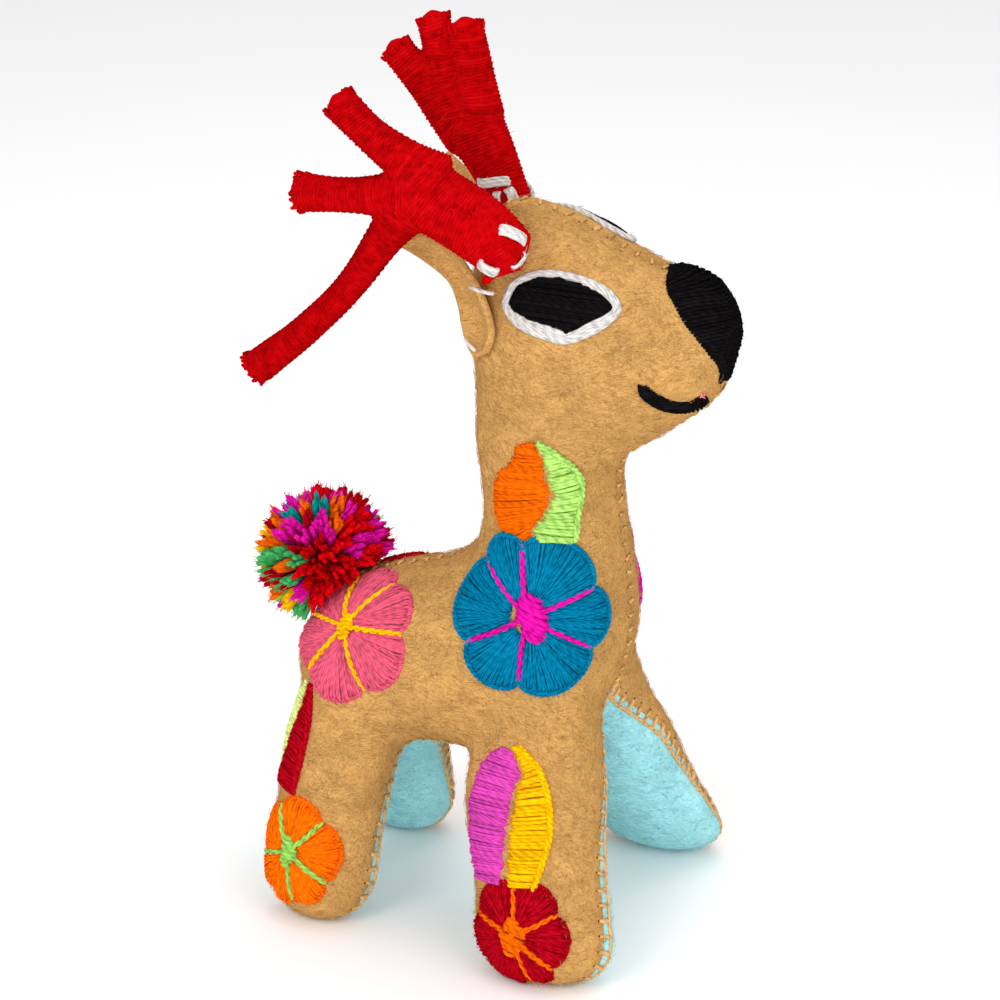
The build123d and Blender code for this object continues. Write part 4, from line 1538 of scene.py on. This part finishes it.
def build_pompom():
    """Hundreds of cut yarn ends standing out from a tied middle."""
    rng = random.Random("pompom")
    bundles = pompom_bundles(rng)
    ways = np.array([way for way, _ in bundles])
    tufts = {colour: Strands() for colour in POMPOM_COLOURS}
    count = 1500
    for k in range(count):
        way = unit(even_way(k, count) + np.array([rng.gauss(0, 0.06) for _ in range(3)]))
        home, colour = bundles[int(np.argmax(ways @ way))]
        way = unit(way + 0.35 * home)
        reach = POMPOM_REACH * rng.uniform(0.84, 1.08)
        while reach > 0.3 * POMPOM_REACH and too_close(POMPOM_CENTRE + way * reach):
            reach *= 0.9
        if reach < 0.45 * POMPOM_REACH:
            continue
        bend = unit(np.cross(way, np.array([rng.gauss(0, 1) for _ in range(3)])))
        sway = rng.uniform(0.3, 1.3)
        path = []
        for s in np.linspace(0.25, 1.0, 7):
            curve = bend * sway * MM * math.sin(s * math.pi)
            path.append(POMPOM_CENTRE + way * reach * s + curve)
        radius = np.array([0.45, 0.47, 0.5, 0.56, 0.64, 0.7, 0.56]) * rng.uniform(0.85, 1.2)
        tufts[colour].add(path, radius * MM, 6, bend)
        for _ in range(2):
            start = path[-2] + bend * rng.uniform(-0.5, 0.5) * MM
            end = path[-1] + unit(way + bend * rng.uniform(-0.9, 0.9)) * rng.uniform(0.6, 1.6) * MM
            tufts[colour].add([start, (start + end) / 2 + bend * 0.2 * MM, end], 0.09 * MM, 3, bend)
    for colour, strands in tufts.items():
        if strands.count:
            piece = strands.build("pompom_tufts_" + colour, YARNS[colour])
            place(piece, "pompom", "pompom_yarn", "pompom_yarn")


def too_close(end):
    """Whether a yarn end would touch the rump."""
    spot, normal = on_skin(end)
    return (end - spot) @ normal < POMPOM_GAP


# =====================================================================================
# Loose surface fibre
# =====================================================================================
def under_satin(spot):
    """Whether black satin covers this spot of the head."""
    x, y, z = np.array(spot) / MM
    eye_x, eye_z = EYES["right" if y < 0 else "left"]
    in_eye = ((x - eye_x) / 14.5) ** 2 + ((z - eye_z) / 7.5) ** 2 < 1
    edge = np.array(NOSE_EDGE)[::-1]
    return in_eye or (z > 150.0 and x > np.interp(z, edge[:, 2], edge[:, 0]) - 0.2)


def build_fuzz():
    """Fine loose fibres lying on the felt."""
    rng = random.Random("fuzz")
    polygons = SKIN.polygons
    areas = np.cumsum([face.area for face in polygons])
    fuzz = {"tan": Strands(), "blue": Strands()}
    for _ in range(FUZZ_COUNT):
        index = int(np.searchsorted(areas, rng.uniform(0, areas[-1])))
        face, flat = polygons[index], REST.polygons[index].center
        spot = np.array(face.center)
        normal = np.array(face.normal)
        if spot[2] < 1.5 * MM:
            continue
        kind = "tan" if abs(flat.y) > seam_half(flat.x, flat.z) else "blue"
        heading = unit(np.cross(normal, np.array([rng.gauss(0, 1) for _ in range(3)])))
        turn = rng.uniform(-0.5, 0.5)
        length = rng.uniform(1.0, 3.6) * MM
        other = np.cross(normal, heading)
        lift = 0.4 * rng.uniform(0.2, 1.3)
        path = []
        for s in (0.0, 0.33, 0.67, 1.0):
            way = heading * s + other * turn * s * s * 0.6
            raised = 0.05 + lift * math.sin(s * 2.7)
            path.append(spot + way * length + normal * raised * MM)
        if under_satin(path[0]) or under_satin(path[-1]):
            continue
        fuzz[kind].add(path, 0.042 * MM, 3, normal)
    place(fuzz["tan"].build("felt_fuzz_tan", FUZZ_TAN), "deer", None, "tan_felt")
    place(fuzz["blue"].build("felt_fuzz_blue", FUZZ_BLUE), "deer", None, "blue_felt")


FUZZ_COUNT = 24000
FUZZ_TAN = yarn("fuzz_tan", (0.64, 0.36, 0.125))
FUZZ_BLUE = yarn("fuzz_blue", (0.42, 0.80, 0.85))


# =====================================================================================
# Studio
# =====================================================================================
CAMERA_AZIMUTH = 22.0
CAMERA_ELEVATION = 20.0
CAMERA_DISTANCE = 0.700
CAMERA_TARGET = np.array([13.0, -23.0, 120.0]) * MM
PIXELS_PER_MM = 4.1
FRAME_PIXELS = 1000.0
SENSOR = 36.0


def build_camera():
    """The camera at the reference viewing angle."""
    azimuth, elevation = math.radians(CAMERA_AZIMUTH), math.radians(CAMERA_ELEVATION)
    back = Vector(
        (
            math.sin(azimuth) * math.cos(elevation),
            -math.cos(azimuth) * math.cos(elevation),
            math.sin(elevation),
        )
    )
    data = bpy.data.cameras.new("camera")
    data.sensor_width = SENSOR
    data.lens = PIXELS_PER_MM * CAMERA_DISTANCE / MM / FRAME_PIXELS * SENSOR
    data.clip_start = 0.01
    camera = bpy.data.objects.new("camera", data)
    camera.location = Vector(CAMERA_TARGET) + back * CAMERA_DISTANCE
    camera.rotation_euler = back.to_track_quat("Z", "Y").to_euler()
    bpy.context.scene.collection.objects.link(camera)
    bpy.context.scene.camera = camera


def area_light(name, place_at, size, power):
    """A square soft light aimed at the deer."""
    data = bpy.data.lights.new(name, "AREA")
    data.size = size
    data.energy = power
    light = bpy.data.objects.new(name, data)
    light.location = place_at
    aim = Vector((0, 0, 0.11)) - Vector(place_at)
    light.rotation_euler = aim.to_track_quat("-Z", "Y").to_euler()
    bpy.context.scene.collection.objects.link(light)


def build_studio():
    """A pale floor, an even pale room and three soft lights."""
    mesh = bpy.data.meshes.new("floor")
    size = 6.0
    mesh.from_pydata([(-size, -size, 0), (size, -size, 0), (size, size, 0), (-size, size, 0)], [], [(0, 1, 2, 3)])
    floor = make_object("floor", mesh, floor_paint("floor_paint"))
    world = bpy.data.worlds.new("room")
    world.use_nodes = True
    background = world.node_tree.nodes["Background"]
    background.inputs["Color"].default_value = (1.0, 1.0, 1.0, 1.0)
    background.inputs["Strength"].default_value = 0.82
    bpy.context.scene.world = world
    area_light("key", (-0.35, -1.0, 0.9), 0.6, 4.0)
    area_light("fill", (0.9, -0.5, 0.6), 0.8, 3.0)
    area_light("low", (0.3, -1.1, 0.12), 0.4, 5.0)
    area_light("top", (0.0, 0.3, 1.2), 0.8, 4.0)
    bpy.context.scene.view_settings.view_transform = "Standard"


# =====================================================================================
# Everything
# =====================================================================================
build_flowers()
build_leaves()
for side_label in SIDES:
    build_eye(side_label)
    build_mouth(side_label)
    build_leg_seam(side_label)
    build_ear(side_label)
    build_ear_stitches(side_label)
    build_antler(side_label)
build_nose()
build_lip_stitch()
build_middle_seam()
build_pompom()
build_fuzz()

CARRIED = {
    "antler_wire_right": wire_metal("wire_right", (0.6, 0.6, 0.6)),
    "antler_wire_left": wire_metal("wire_left", (0.6, 0.6, 0.6)),
    "pompom_tie": YARNS["red"],
}
for node_name, carried_material in CARRIED.items():
    NODES[node_name].data.materials.clear()
    NODES[node_name].data.materials.append(carried_material)

build_camera()
build_studio()
